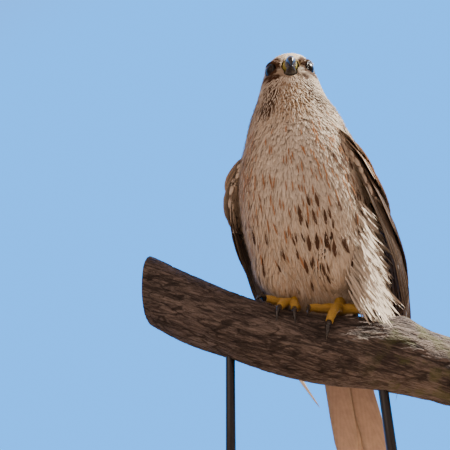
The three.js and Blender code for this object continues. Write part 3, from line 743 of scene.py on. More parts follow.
def dress_wisps(skin, tree, sizes, colours, random):
    """Loose hair-like barbs that soften the breast, belly and thighs."""
    spacing = body_spacing(sizes.density * 1.1)

    def front_only(points):
        turn, _ = around(points)
        return np.where((np.abs(turn) < 118) & (face_share(points) < 0.3), spacing(points), -1.0)

    roots, normals = scatter(skin.data, front_only, random)
    n = len(roots)
    length, _ = body_size(roots, random)
    tone = body_tone(roots, random, colours) * mix(0.86, 1.12, random.random(n))[:, None]
    flow = unit(body_flow(roots, normals) + 0.16 * random.standard_normal((n, 3)))
    depth = skin_depth(roots, sizes.coat)
    width = 0.0005 * mix(0.6, 1.3, random.random(n))
    high = depth * mix(0.85, 1.25, random.random(n))
    grid, out = lay_plumes(tree, roots, normals, flow, length, width, depth * 0.2, high, WISP)
    blank = np.zeros((n, 4))
    spread = unwrap_body(roots)
    for name, chosen in (("wisps_1", slice(0, n // 2)), ("wisps_2", slice(n // 2, n))):
        half = [part[chosen] for part in (grid, out, tone, blank, spread)]
        finish_piece(plume_mesh(name, *half), bpy.data.materials["body_feather"])


def streak_odds(points):
    """How likely a dark streak, and how likely a thin rufous one, grows at a place."""
    turn, z = around(points)
    dark = 0.95 * bell(turn, 20, 17) * bell(z, 80, 42)
    dark = np.maximum(dark, 0.95 * bell(turn, 46, 11) * bell(z, 74, 30))
    dark = np.maximum(dark, 0.5 * bell(turn, -29, 8) * bell(z, 76, 28))
    flank = np.interp(z, [40, 125, 168, 215], [78, 70, 57, 50])
    dark = np.maximum(dark, 0.95 * bell(turn, flank, 9) * smooth(30, 60, z) * smooth(215, 180, z))
    dark = np.maximum(dark, 0.7 * bell(turn, -flank, 9) * smooth(30, 60, z) * smooth(215, 180, z))
    thin = 0.8 * bell(turn, 44, 22) * bell(z, 165, 50)
    thin = np.maximum(thin, 0.7 * bell(turn, -34, 18) * bell(z, 170, 60))
    thin = np.maximum(thin, 0.35 * bell(turn, 10, 30) * bell(z, 130, 50))
    return dark, thin


STREAK_GAP = 4.6


def dress_streaks(skin, tree, sizes, colours, random):
    """Feathers with a dark drop down their middle over the belly, and thin rufous ones over the breast."""

    def front_only(points):
        turn, z = around(points)
        return np.where((np.abs(turn) < 100) & (z > 34) & (z < 250), STREAK_GAP * MM, -1.0)

    roots, normals = scatter(skin.data, front_only, random)
    dark, thin = streak_odds(roots)
    pick = random.random(len(roots))
    is_dark = pick < 0.42 * dark
    kept = is_dark | (pick > 1 - 0.8 * thin)
    roots, normals, is_dark = roots[kept], normals[kept], is_dark[kept]
    n = len(roots)
    big = random.random(n) ** 1.6
    length = np.where(is_dark, mix(14.0, 27.0, big), mix(14.0, 22.0, big)) * MM
    width = np.where(is_dark, mix(1.1, 2.6, big), mix(0.6, 0.95, big)) * MM
    tone = body_tone(roots, random, colours)
    mark = np.where(is_dark[:, None], np.array(colours.streak), np.array(colours.rufous))
    mark = mark * mix(0.8, 1.3, random.random(n))[:, None]
    mark = np.concatenate([mark, np.where(is_dark, 1.0, 1.3)[:, None]], axis=1)
    flow = unit(body_flow(roots, normals) + 0.1 * random.standard_normal((n, 3)))
    depth = skin_depth(roots, sizes.coat)
    grid, out = lay_plumes(tree, roots, normals, flow, length, width, depth * 0.86, depth * 1.12, LANCE)
    obj = plume_mesh("streaked_feathers", grid, out, tone, mark, unwrap_body(roots))
    material = feather_material("streaked_feather", streak=1.0, barbs=70.0, root_shade=1.0)
    finish_piece(obj, material)


FLANK_PLUMES = dict(count=1100, x=(50.0, 74.0), y=(-24.0, 34.0), z=(122.0, 12.0), length=(24.0, 44.0))


def dress_flank(colours, random):
    """Long loose plumes that spill from the left flank over the folded wing's edge."""
    f = FLANK_PLUMES
    n = f["count"]
    share = np.sort(random.random(n))
    across = mix(*f["x"], random.random(n)) * mix(1.0, 0.9, share)
    root = np.stack([across, mix(*f["y"], random.random(n)), mix(*f["z"], share)], axis=1)
    length = mix(*f["length"], random.random(n)) * mix(0.8, 1.0, share)
    way = unit(np.stack([0.3 + 0.1 * random.standard_normal(n), 0.16 + 0 * share, -1 + 0 * share], axis=1))
    s, wide = PLUME.T
    bend = np.stack([0.10 * s**2, 0 * s, -0.06 * s**2], axis=-1)
    line = root[:, None] + (way[:, None] * s[None, :, None] + bend[None]) * length[:, None, None]
    up = unit(np.stack([0.62 + 0 * share, -0.75 + 0.1 * random.standard_normal(n), 0.2 + 0 * share], axis=1))
    side = unit(np.cross(way, up))[:, None]
    half = (mix(0.6, 1.5, random.random(n))[:, None] * wide)[..., None]
    rows = [line - side * half, line + up[:, None] * 0.3, line + side * half]
    grid = place(np.stack(rows, axis=2), HAWK)
    out = turned(np.broadcast_to(up[:, None, None], grid.shape), HAWK)
    tone = varied(colours.cream, 0.6, 1.0, n, random)
    obj = plume_mesh("flank_plumes", grid, out, tone, np.zeros((n, 4)), unwrap_body(place(root, HAWK)))
    finish_piece(obj, bpy.data.materials["body_feather"])


# The wings


def wing_place(wing, u, v):
    """Places on the folded wing's sheet in the hawk's frame; u runs to the tip and v over the back."""
    u, v = np.broadcast_arrays(np.asarray(u, float), np.asarray(v, float))
    flat_u, flat_v = u.ravel(), v.ravel()[:, None]
    f, m, b = (spline(rail, flat_u) for rail in RAILS)
    p = f * (1 - flat_v) ** 2 + m * 2 * flat_v * (1 - flat_v) + b * flat_v**2
    for amount, middle in ((wing["wrist"], 0.38), (wing["hand"], 0.78)):
        p[:, 0] += amount * bell(flat_u, middle, 0.24) * (1 - flat_v[:, 0] ** 2)
    p[:, 0] *= wing["side"]
    return p.reshape(*u.shape, 3)


def wing_out(wing, u, v):
    step = 0.02
    low, high = np.clip(u - step, 0, 1), np.clip(u + step, 0, 1)
    du = wing_place(wing, high, v) - wing_place(wing, low, v)
    dv = wing_place(wing, u, v + step) - wing_place(wing, u, v - step)
    return unit(np.cross(du, dv) * wing["side"])


# Tiers from the innermost: how many, where they lie over the wing (v), their roots and tips along it (u),
# their half width in v, and their height over the sheet at root and tip in millimetres
TIERS = {
    "primaries": (10, (0.02, 0.36), (0.4, 0.42), (0.97, 0.84), 0.10, (-9, -5.8)),
    "secondaries": (12, (0.12, 0.74), (0.34, 0.36), (0.6, 0.85), 0.085, (-6, -2.6)),
    "tertials": (4, (0.74, 0.97), (0.3, 0.28), (0.82, 0.7), 0.10, (-5, 0.2)),
    "greater": (15, (0.05, 0.94), (0.24, 0.28), (0.45, 0.57), 0.062, (-4.6, 1.2)),
    "median": (16, (0.03, 0.96), (0.2, 0.22), (0.35, 0.42), 0.055, (-4.2, 2.8)),
    "scapulars": (9, (0.56, 1.16), (0.06, 0.0), (0.34, 0.42), 0.075, (1.5, 5.5)),
    "mantle": (9, (0.5, 1.2), (-0.02, -0.1), (0.2, 0.26), 0.07, (3.0, 6.5)),
}
VANE_OUTLINE = np.array(
    [(0, 0.45), (0.12, 0.8), (0.3, 0.96), (0.5, 1.0), (0.68, 1.0)]
    + [(0.82, 0.94), (0.91, 0.76), (0.97, 0.46), (1, 0.1)]
)
VANE_COLUMNS = np.linspace(-1, 1, 5)
VANE_TILT = 1.6


def wing_vanes(wing, tier, random):
    """Places and ways up of one tier's feathers in the hawk's frame, with their roots' v and u."""
    count, v_range, root_range, tip_range, half, lift_range = tier
    place_in_row = np.linspace(0, 1, count)
    v = mix(*v_range, place_in_row)
    root = mix(*root_range, place_in_row)
    tip = mix(*tip_range, place_in_row) + 0.012 * (random.random(count) - 0.5)
    half = half * mix(0.94, 1.06, random.random(count))
    s, share = VANE_OUTLINE.T
    u = (root[:, None] + (tip - root)[:, None] * s)[:, :, None] + 0 * VANE_COLUMNS
    across = share[None, :, None] * VANE_COLUMNS
    w = v[:, None, None] + across * half[:, None, None]
    out = wing_out(wing, u, w)
    rise = mix(*lift_range, np.clip(s * 1.5, 0, 1))[None, :, None]
    lift = rise - VANE_TILT * across + 0.5 * (1 - across**2)
    return wing_place(wing, u, w) + out * lift[..., None], out, v, root


def wing_colours(wing, tier_name, v, colours, random):
    n = len(v)
    brown, dark, buff, white, rufous = shades(colours, "brown", "dark", "buff", "white", "rufous")
    warm = mix(brown, rufous, 0.45) * 1.3
    base = {"primaries": dark, "secondaries": mix(dark, brown, 0.35), "tertials": brown}.get(tier_name, warm)
    tone = varied(base, 0.8, 1.25, n, random)
    mark = np.tile(mix(buff, white, 0.3), (n, 1))
    strength = np.where(random.random(n) < 0.6, 1.0, 0.4)
    if tier_name in ("greater", "median", "scapulars", "mantle"):
        lining = smooth(wing["pale"] + 0.06, wing["pale"] - 0.06, v)
        tone = tone + (mix(buff, white, 0.55) - tone) * lining[:, None]
        strength = strength * (1 - lining)
    return tone, np.concatenate([mark, strength[:, None]], axis=1)


ARM_REACH = 0.5


def wing_arm(wing, name):
    """The arm and hand under the coverts as a closed, soft body."""
    rings, across = 40, 16
    u = np.linspace(0, ARM_REACH, rings)[:, None]
    v = np.linspace(0, 1, across)[None, :]
    full = np.sqrt(np.clip(1 - (u / ARM_REACH) ** 3, 0, 1))
    start = np.sin(math.pi * mix(0.22, 0.5, np.clip(u / ARM_REACH * 4, 0, 1)))
    thick = mix(13.0, 6.0, smooth(0, 1, v)) * mix(0.25, 1, full) * start
    point, out = wing_place(wing, u + 0 * v, v + 0 * u), wing_out(wing, u + 0 * v, v + 0 * u)
    edge = np.sqrt(np.sin(math.pi * mix(0.08, 0.92, v)))
    sink = mix(5, 0, full)
    top = point - out * (sink + (1 - edge) * thick * 0.5 + 1.2)[..., None]
    under = point - out * (sink + thick * (0.5 + 0.5 * edge) - 0.6)[..., None]
    loop = place(np.concatenate([top, under[:, ::-1]], axis=1), HAWK)
    size = loop.shape[1]
    faces = tube_faces(rings, size)
    faces += [tuple(range(size))[::-1], tuple(range((rings - 1) * size, rings * size))]
    mesh = bpy.data.meshes.new(name)
    mesh.from_pydata(loop.reshape(-1, 3).tolist(), [], faces)
    build = bmesh.new()
    build.from_mesh(mesh)
    bmesh.ops.recalc_face_normals(build, faces=build.faces)
    if build.calc_volume(signed=True) < 0:
        bmesh.ops.reverse_faces(build, faces=build.faces)
    build.to_mesh(mesh)
    tree = BVHTree.FromBMesh(build)
    build.free()
    return new_object(name, mesh), tree


def dress_wing(which, colours, random):
    wing = WINGS[which]
    arm, tree = wing_arm(wing, f"wing_arm_{which}")
    finish_piece(arm, plain_material("arm_skin", (0.30, 0.22, 0.16), 0.8), [f"wing_{which}"])
    brown, buff, white = shades(colours, "brown", "buff", "white")
    flight = feather_material(
        "flight_feather",
        bars=34.0,
        bar_strength=0.22,
        fringe=0.35,
        fringe_colour=mix(buff, 1, 0.1),
        barbs=420.0,
        rough=0.55,
        sheen=0.1,
    )
    covert = feather_material(
        "covert_feather",
        bars=11.0,
        bar_strength=0.45,
        fringe=0.75,
        fringe_colour=colours.buff,
        barbs=220.0,
        rough=0.65,
    )
    for name, tier in TIERS.items():
        grid, out, v, root = wing_vanes(wing, tier, random)
        tone, mark = wing_colours(wing, name, v, colours, random)
        spread = np.stack([0.02 + 0.96 * np.clip(v, 0, 1), root], axis=1)
        lower = brown * 0.8 if name in ("primaries", "secondaries") else mix(white, buff, 0.35)
        under = np.tile(lower, (len(v), 1))
        obj = vane_mesh(f"{name}_{which}", place(grid, HAWK), turned(out, HAWK), tone, mark, spread, under)
        material = flight if name in ("primaries", "secondaries", "tertials") else covert
        finish_piece(obj, material)
    dress_arm(arm, tree, which, covert, colours, random)


ARM_GRID = (60, 24)
ARM_GAP = 3.6


def dress_arm(arm, tree, which, material, colours, random):
    """Small coverts over the shoulder and the pale ones that line the wing's leading edge."""
    wing = WINGS[which]
    u = np.linspace(0, ARM_REACH, ARM_GRID[0])[:, None] + np.zeros(ARM_GRID)
    v = np.linspace(0, 1, ARM_GRID[1])[None, :] + np.zeros(ARM_GRID)
    here = wing_place(wing, u, v)
    sheet = place(here, HAWK).reshape(-1, 3)
    outward = turned(wing_out(wing, u, v), HAWK).reshape(-1, 3)
    ahead = turned(wing_place(wing, np.clip(u + 0.02, 0, 1), v) - here, HAWK).reshape(-1, 3)
    lookup = kdtree.KDTree(len(sheet))
    for i, point in enumerate(sheet):
        lookup.insert(point, i)
    lookup.balance()

    roots, normals = scatter(arm.data, lambda points: np.full(len(points), ARM_GAP * MM), random)
    found = np.array([lookup.find(point)[1] for point in roots])
    at_u, at_v = u.ravel()[found], v.ravel()[found]
    facing = np.sum(normals * outward[found], axis=1)
    keep = (facing < 0.2) | (at_u < 0.3)
    roots, normals, found = roots[keep], normals[keep], found[keep]
    at_u, at_v, facing = at_u[keep], at_v[keep], facing[keep]
    n = len(roots)
    flow = laid_flat(unit(ahead)[found], normals)
    flow = unit(flow + 0.08 * random.standard_normal((n, 3)))
    length = mix(15.0, 19.0, at_u * 3) * mix(0.85, 1.15, random.random(n)) * MM
    length = np.where(at_v < 0.12, length * 0.7, length)
    brown, buff, white, rufous = shades(colours, "brown", "buff", "white", "rufous")
    pale = np.maximum(smooth(0.42, 0.0, facing), smooth(wing["pale"] + 0.05, wing["pale"] - 0.05, at_v))
    tone = varied(mix(brown, rufous, 0.35), 0.7, 1.7, n, random)
    mottled = (random.random(n) < 0.2)[:, None] & (facing > 0)[:, None]
    tone = np.where(mottled, mix(buff, white, 0.3) * 0.8, tone)
    tone = tone + (mix(buff, white, 0.62) * mix(0.85, 1.05, random.random(n))[:, None] - tone) * pale[:, None]
    spots = np.where((pale > 0.5) & (random.random(n) < 0.08), 0.5, np.where(pale > 0.5, 0.0, 0.5))
    mark_colour = np.where((pale > 0.5)[:, None], np.array(colours.streak), mix(buff, white, 0.3))
    mark = np.concatenate([mark_colour, spots[:, None]], axis=1)
    width = np.where(pale > 0.5, 2.6, 4.2) * MM
    high = np.where(pale > 0.5, 1.6, 3.2) * MM
    grid, out = lay_plumes(tree, roots, normals, flow, length, width, -0.3 * MM + 0 * high, high, PLUME)
    spread = np.stack([0.02 + 0.96 * at_v, 0.02 + 0.96 * at_u / ARM_REACH], axis=1)
    obj = plume_mesh(f"lesser_coverts_{which}", grid, out, tone, mark, spread, COVERT_THICK)
    finish_piece(obj, material)


# The tail


ACROSS = np.array([1.0, 0, 0])
TAIL_PAIRS = 6
TAIL_LAYER = 1.05


def tail_place(down, lift, across):
    down, lift, across = (x[..., None] for x in np.broadcast_arrays(down, lift, across))
    return TAIL_ROOT + down * TAIL_DOWN + lift * TAIL_OUT + across * ACROSS


def dress_tail(colours, random):
    s, share = VANE_OUTLINE.T
    s, share = s[None, :, None], share[None, :, None]
    a = VANE_COLUMNS[None, None, :]
    n = 2 * TAIL_PAIRS
    pair = np.repeat(np.arange(TAIL_PAIRS), 2)
    side = np.tile([1.0, -1.0], TAIL_PAIRS)
    k = ((pair + 0.5) / TAIL_PAIRS)[:, None, None]
    layer = (-(2 * pair + (side < 0)) * TAIL_LAYER)[:, None, None]
    length = TAIL_LENGTH - 9 * k**2
    middle = side[:, None, None] * mix(7.0, 21.0, s) * k
    lift = layer + 4 + 3 * s * s + 0.8 * (1 - a**2) * share
    grid = tail_place(length * s, lift, middle + a * share * 15)
    out = np.tile(TAIL_OUT, (*grid.shape[:3], 1))
    tail, dark, white = shades(colours, "tail", "dark", "white")
    tone = varied(tail, 0.85, 1.12, n, random)
    mark = np.tile([*dark, 1.0], (n, 1))
    spread = np.stack([0.1 + 0.8 * np.arange(n) / (n - 1), np.full(n, 0.5)], axis=1)
    under = np.tile(mix(tail, white, 0.45), (n, 1))
    obj = vane_mesh("tail_feathers", place(grid, HAWK), turned(out, HAWK), tone, mark, spread, under, 0.05)
    material = feather_material(
        "tail_feather",
        bars=60.0,
        bar_strength=0.06,
        fringe=0.55,
        fringe_colour=(0.62, 0.5, 0.38),
        tip_band=1.0,
        barbs=420.0,
        rough=0.5,
    )
    finish_piece(obj, material, ["tail"])
    dress_tail_coverts(colours, random)


def dress_tail_coverts(colours, random):
    """Rump feathers over the tail's root, and the pale loose ones under it."""
    rows, across = 9, 9
    row, column = (x.ravel() for x in np.meshgrid(np.arange(rows), np.arange(across), indexing="ij"))
    n = len(row)
    brown, white = shades(colours, "brown", "white")
    for name, upper, colour in (("rump_coverts", True, brown), ("vent_coverts", False, white)):
        column_place = (column + 0.5 * (row % 2)) / (across - 0.5) * 2 - 1
        start = (-26 + row * (7.5 if upper else 9.5))[:, None, None] + 3 * random.random((n, 1, 1))
        length = ((34 if upper else 42) * mix(0.85, 1.15, random.random(n)))[:, None, None]
        s, share = PLUME.T
        s, share = s[None, :, None], share[None, :, None]
        a = np.linspace(-1, 1, 3)[None, None, :]
        down = start + length * s
        wide = mix(36.0, 22.0, np.clip((down + 26) / 100, 0, 1)) * 0.92
        deep = mix(23.0, 6.0, np.clip((down + 26) / 95, 0, 1))
        angle = column_place[:, None, None] * 1.3 + a * share * 0.14
        bulge = deep + mix(0.2, 2.6, s) + 0.4 * (row / rows)[:, None, None]
        sign = 1.0 if upper else -1.0
        lift = sign * np.cos(angle) * bulge + (3.0 if upper else -5.0)
        grid = tail_place(down, lift, np.sin(angle) * (wide + mix(0.2, 2.2, s)))
        out = sign * np.cos(angle)[..., None] * TAIL_OUT + np.sin(angle)[..., None] * ACROSS
        out = turned(unit(out + 0 * grid), HAWK)
        tone = varied(colour, 0.85, 1.1, n, random)
        mark = np.zeros((n, 4))
        spread = np.stack([0.5 + 0.45 * column_place, 0.05 + 0.9 * row / rows], axis=1)
        obj = plume_mesh(name, place(grid, HAWK), out, tone, mark, spread, RUMP_THICK)
        finish_piece(obj, bpy.data.materials["body_feather"])


# Bare parts


def plain_material(name, colour, rough):
    found = bpy.data.materials.get(name)
    if found:
        return found
    material, g, shader = new_material(name)
    spots = g.noise(g.place(), 90.0)
    g.feed(shader["Base Color"], g.tint(rgba(colour), spots, 0.5, [c * 0.55 for c in colour]))
    tune(shader, {"Roughness": rough})
    return material


def horn_material(name, root_colour, tip_colour, low, high):
    """Horn that darkens towards its tip: low and high are where along it the change begins and ends."""
    material, g, shader = new_material(name)
    along = g.value_of("along")
    streaks = g.noise(g.scaled(g.place(), (300, 300, 900)), 1.0)
    blend = g.step(low, high, g.math("ADD", along, g.math("MULTIPLY_ADD", streaks, 0.3, -0.15)))
    g.feed(shader["Base Color"], g.mix(blend, rgba(root_colour), rgba(tip_colour)))
    g.feed(shader["Normal"], g.bump(streaks, 0.25, 0.0002))
    tune(shader, {"Roughness": 0.28, "Coat Weight": 0.3})
    return material


def set_values(mesh, label, values):
    data = mesh.attributes.new(label, "FLOAT", "POINT").data
    data.foreach_set("value", np.asarray(values, np.float32))


def add_along(obj, matrix, axis, low, high):
    """An attribute that runs from 0 to 1 along an axis of a frame."""
    co = within(np.array([v.co for v in obj.data.vertices]), matrix)
    value = np.clip((co @ np.array(axis) - low) / (high - low), 0, 1)
    set_values(obj.data, "along", value)


def skin_material(name, colour, scale, relief):
    """Bare skin with small raised scales."""
    material, g, shader = new_material(name)
    here = g.place()
    inputs = {"Vector": g.scaled(here, (scale, scale, scale * 1.25)), "Randomness": 0.55}
    cells = g.node("ShaderNodeTexVoronoi", inputs, feature="DISTANCE_TO_EDGE").outputs["Distance"]
    gap = g.step(0.0, 0.12, cells)
    tone = g.noise(here, 220.0)
    deep = rgba(tuple(c * 0.42 for c in colour))
    surface = g.mix(tone, rgba(tuple(c * 0.8 for c in colour)), rgba(tuple(min(1, c * 1.15) for c in colour)))
    g.feed(shader["Base Color"], g.mix(gap, deep, surface))
    g.feed(shader["Normal"], g.bump(gap, 0.6, relief))
    tune(shader, {"Roughness": 0.42, "Subsurface Weight": 0.08, "Subsurface Radius": (0.002, 0.001, 0.0006)})
    return material


def eye_material():
    """A dark brown iris round the pupil, both by how far along its own axis a point of the eye lies."""
    material, g, shader = new_material("eye")
    along = g.value_of("along")
    fibres = g.noise(g.place(), 1400.0)
    iris = g.mix(fibres, (0.006, 0.003, 0.002, 1), (0.022, 0.009, 0.004, 1))
    colour = g.mix(g.step(0.86, 0.875, along), iris, (0.001, 0.001, 0.001, 1))
    rim = g.step(0.55, 0.62, along)
    g.feed(shader["Base Color"], g.mix(rim, (0.006, 0.005, 0.004, 1), colour))
    tune(shader, {"Roughness": 0.3, "Specular IOR Level": 0.2, "Coat Weight": 0.04, "Coat Roughness": 0.04})
    return material


LID_RING = 7.6
LID_THICK = 1.3
LID_FORWARD = 5.6


def make_eye(side_name, side):
    centre = Vector((side * EYE[0], EYE[1], EYE[2]))
    outward = Vector((side, -0.75, 0)).normalized()
    bpy.ops.mesh.primitive_uv_sphere_add(segments=48, ring_count=32, radius=EYE_RADIUS * MM)
    obj = bpy.context.object
    obj.name = obj.data.name = f"eyeball_{side_name}"
    turn = Vector((0, 0, 1)).rotation_difference(outward).to_matrix().to_4x4()
    matrix = Matrix.Scale(MM, 4) @ HEAD @ Matrix.Translation(centre) @ turn @ Matrix.Scale(1 / MM, 4)
    set_values(obj.data, "along", np.array([v.co.z for v in obj.data.vertices]) / (EYE_RADIUS * MM))
    obj.data.transform(matrix)
    finish_piece(obj, eye_material(), [f"eye_{side_name}"])
    bpy.ops.mesh.primitive_torus_add(
        major_segments=48, minor_segments=14, major_radius=LID_RING * MM, minor_radius=LID_THICK * MM
    )
    lid = bpy.context.object
    lid.name = lid.data.name = f"eyelid_{side_name}"
    shift = Matrix.Translation((0, 0, LID_FORWARD * MM)) @ Matrix.Diagonal((1.06, 0.96, 1.1, 1))
    lid.data.transform(matrix @ shift)
    finish_piece(lid, skin_material("eyelid", (0.02, 0.016, 0.014), 1500.0, 0.0002))


# The perch


# The knot's place along and round the branch, and its size
KNOT = dict(x=92.0, turn=math.radians(18), reach=24.0, height=9.0)
BARK_SLOPE = math.radians(-20)
PERCH_ENDS = (-185.0, 148.0)
PERCH_LINE = [(-210, 90), (-130, 50), (-62, 19), (0, 0), (60, -8), (110, -22), (175, -50)]
PERCH_RINGS = 420
PERCH_SIDES = 220
# Rings of each sawn end, as shares of the branch's width
END_RINGS = (0.97, 0.75, 0.5, 0.25)
BARK_LEVEL = 0.8


def perch_middle(x):
    line = spline(PERCH_LINE, np.linspace(0, 1, 400))
    return PERCH_TOP - PERCH_RADIUS + np.interp(x, line[:, 0], line[:, 1])


def perch_radius(x, turn):
    swell = 1.1 * np.sin(x / 31 + 2 * turn) + 0.8 * np.sin(x / 17 - 3 * turn + 1)
    swell = swell + 0.6 * np.sin(5 * turn + x / 40)
    away2 = ((x - KNOT["x"]) / KNOT["reach"]) ** 2
    away2 = away2 + ((turn - KNOT["turn"]) * PERCH_RADIUS / KNOT["reach"]) ** 2
    quiet = smooth(30, 70, np.abs(x))
    thick = PERCH_RADIUS * mix(1, 1.13, smooth(0, 170, -x))
    return thick + swell * mix(0.35, 1, quiet) + KNOT["height"] * np.exp(-2.2 * away2)


def bark_height(point):
    """Relief of the bark from 0 in a fissure to 1 on a plate, with its fissures along the branch."""
    x, y, z = point
    bend = noise.noise_vector(Vector((x * 14, y * 22, z * 22))) * 1.3
    coarse = Vector((x * 26, y * 150, z * 150)) + bend
    fine = Vector((x * 90, y * 420, z * 420)) + bend * 1.6
    crack = max(0.0, 1 - 3.4 * abs(noise.noise(coarse)))
    hair = max(0.0, 1 - 3.2 * abs(noise.noise(fine)))
    broken = 0.5 + 0.5 * noise.noise(Vector((x * 60, y * 60, z * 60)))
    plates = noise.noise(Vector((x * 30, y * 70, z * 70)))
    return BARK_LEVEL - 0.62 * crack * smooth(0.3, 0.6, broken) - 0.22 * hair + 0.28 * plates


def perch_points(x, turn, radius):
    back = PERCH_Y - np.sin(turn) * radius
    return np.stack([x, back, perch_middle(x) + np.cos(turn) * radius], axis=-1) * MM


def make_perch(sizes):
    """The branch; the seed keeps its bark the same on every run, as noise_vector starts from the clock."""
    noise.seed_set(sizes.seed)
    rings, sides = PERCH_RINGS, PERCH_SIDES
    x = np.linspace(*PERCH_ENDS, rings)[:, None] + np.zeros(sides)
    turn = np.linspace(-math.pi, math.pi, sides, endpoint=False)[None, :] + np.zeros((rings, 1))
    radius = perch_radius(x, turn)
    smooth_points = perch_points(x, turn, radius).reshape(-1, 3)
    relief = np.array([bark_height(point) for point in smooth_points]).reshape(x.shape)
    radius = radius + (relief - BARK_LEVEL) * sizes.bark_relief / MM
    grid = perch_points(x, turn, radius)
    verts = grid.reshape(-1, 3).tolist()
    values = relief.ravel().tolist()
    ends = [0.0] * len(verts)
    faces = tube_faces(rings, sides)
    for ring, order in ((0, 1), (rings - 1, -1)):
        start = ring * sides
        middle = grid[ring].mean(axis=0)
        previous = list(range(start, start + sides))
        for share in END_RINGS:
            first = len(verts)
            verts += (middle + (grid[ring] - middle) * share).tolist()
            values += [share] * sides
            ends += [1.0] * sides
            current = list(range(first, first + sides))
            for j in range(sides):
                k = (j + 1) % sides
                faces.append((previous[j], previous[k], current[k], current[j])[::order])
            previous = current
        verts.append(middle.tolist())
        values.append(0.0)
        ends.append(1.0)
        for j in range(sides):
            faces.append((previous[j], previous[(j + 1) % sides], len(verts) - 1)[::order])
    mesh = bpy.data.meshes.new("branch")
    mesh.from_pydata(verts, [], faces)
    build = bmesh.new()
    build.from_mesh(mesh)
    bmesh.ops.recalc_face_normals(build, faces=build.faces)
    build.to_mesh(mesh)
    build.free()
    set_values(mesh, "relief", values)
    set_values(mesh, "sawn", ends)
    finish_piece(new_object("branch", mesh), bark_material(), ["perch"])


def bark_material():
    """Bark with cracks and scuffs that run along the branch, a little moss, and rings where it is sawn."""
    material, g, shader = new_material("bark")

    def cracks_of(scale, detail, wide):
        middle = g.math("SUBTRACT", g.noise(stretched, scale, detail), 0.5)
        return g.step(wide, 0.0, g.math("ABSOLUTE", middle))

    here = g.place()
    relief = g.value_of("relief")
    sawn = g.step(0.4, 0.6, g.value_of("sawn"))
    level = g.node("ShaderNodeMapping", {"Vector": here, "Rotation": (0, BARK_SLOPE, 0)}).outputs[0]
    stretched = g.scaled(level, (0.13, 1.0, 1.0))
    grain = g.noise(stretched, 420.0, 6.0, 0.7)
    scuffs = g.noise(stretched, 1300.0, 3.0)
    hair_cracks = g.times(cracks_of(340.0, 3.0, 0.06), 0.6)
    cracks = g.math("MAXIMUM", cracks_of(95.0, 4.0, 0.05), hair_cracks)
    patch = g.noise(g.scaled(level, (0.5, 1.0, 1.0)), 34.0, 4.0)
    colour = g.mix(g.step(0.3, 0.7, grain), (0.045, 0.031, 0.028, 1), (0.21, 0.162, 0.142, 1))
    colour = g.tint(colour, g.step(0.45, 0.7, patch), 0.5, (0.28, 0.225, 0.19))
    colour = g.tint(colour, g.step(0.60, 0.72, scuffs), 0.5, (0.42, 0.37, 0.32))
    # Painted shade: darker down in the fissures, where the relief is low.
    colour = g.tint(colour, g.step(0.5, 0.1, relief), 0.8, (0.018, 0.012, 0.010))
    colour = g.tint(colour, cracks, 0.85, (0.014, 0.009, 0.008))
    x = g.node("ShaderNodeSeparateXYZ", {0: here}).outputs[0]
    mossy = g.times(g.step(0.03, 0.09, x), g.step(0.48, 0.62, g.noise(here, 55.0, 5.0)))
    colour = g.tint(colour, mossy, 0.55, (0.10, 0.11, 0.035))
    rings = g.math("SINE", g.times(relief, 120.0))
    wood = g.mix(g.math("MULTIPLY_ADD", rings, 0.3, 0.5), (0.46, 0.32, 0.19, 1), (0.62, 0.47, 0.31, 1))
    g.feed(shader["Base Color"], g.mix(sawn, colour, wood))
    height = g.math("SUBTRACT", g.math("ADD", grain, g.times(scuffs, 0.35)), cracks)
    g.feed(shader["Normal"], g.bump(height, 1.0, 0.0012))
    tune(shader, {"Roughness": 0.9})
    return material


# The stand


def wood_material():
    material, g, shader = new_material("base_wood")
    here = g.scaled(g.place(), (3.0, 26.0, 26.0))
    warp = g.noise(here, 1.2, 3.0)
    inputs = {"Vector": here, "Scale": 1.4, "Distortion": 3.2, "Detail": 3.0}
    wave = g.node("ShaderNodeTexWave", inputs, bands_direction="Y").outputs["Color"]
    pores = g.noise(g.scaled(g.place(), (40, 700, 700)), 1.0, 3.0)
    colour = g.mix(wave, (0.36, 0.22, 0.12, 1), (0.50, 0.34, 0.20, 1))
    colour = g.tint(colour, warp, 0.35, (0.26, 0.15, 0.08))
    g.feed(shader["Base Color"], g.mix(g.step(0.6, 0.75, pores), colour, (0.24, 0.14, 0.08, 1)))
    g.feed(shader["Normal"], g.bump(pores, 0.15, 0.0002))
    tune(shader, {"Roughness": 0.38, "Coat Weight": 0.25})
    return material


def metal_material():
    material, g, shader = new_material("rod_metal")
    brushed = g.noise(g.scaled(g.place(), (900, 900, 40)), 1.0)
    g.feed(shader["Roughness"], g.step(0.2, 0.8, brushed, 0.24, 0.42))
    tune(shader, {"Base Color": (0.035, 0.035, 0.038, 1), "Metallic": 0.6, "Coat Weight": 0.2})
    return material


BASE_CORNER = 0.0255
BASE_EDGE = 0.0015
ROD_SIDES = 48
# The ring at a rod's foot: heights over the base in metres, and widths as shares of the rod's
COLLAR = [(0.0001, 1.0), (0.0001, 1.9), (0.0036, 1.9), (0.0046, 1.7), (0.0046, 1.0)]


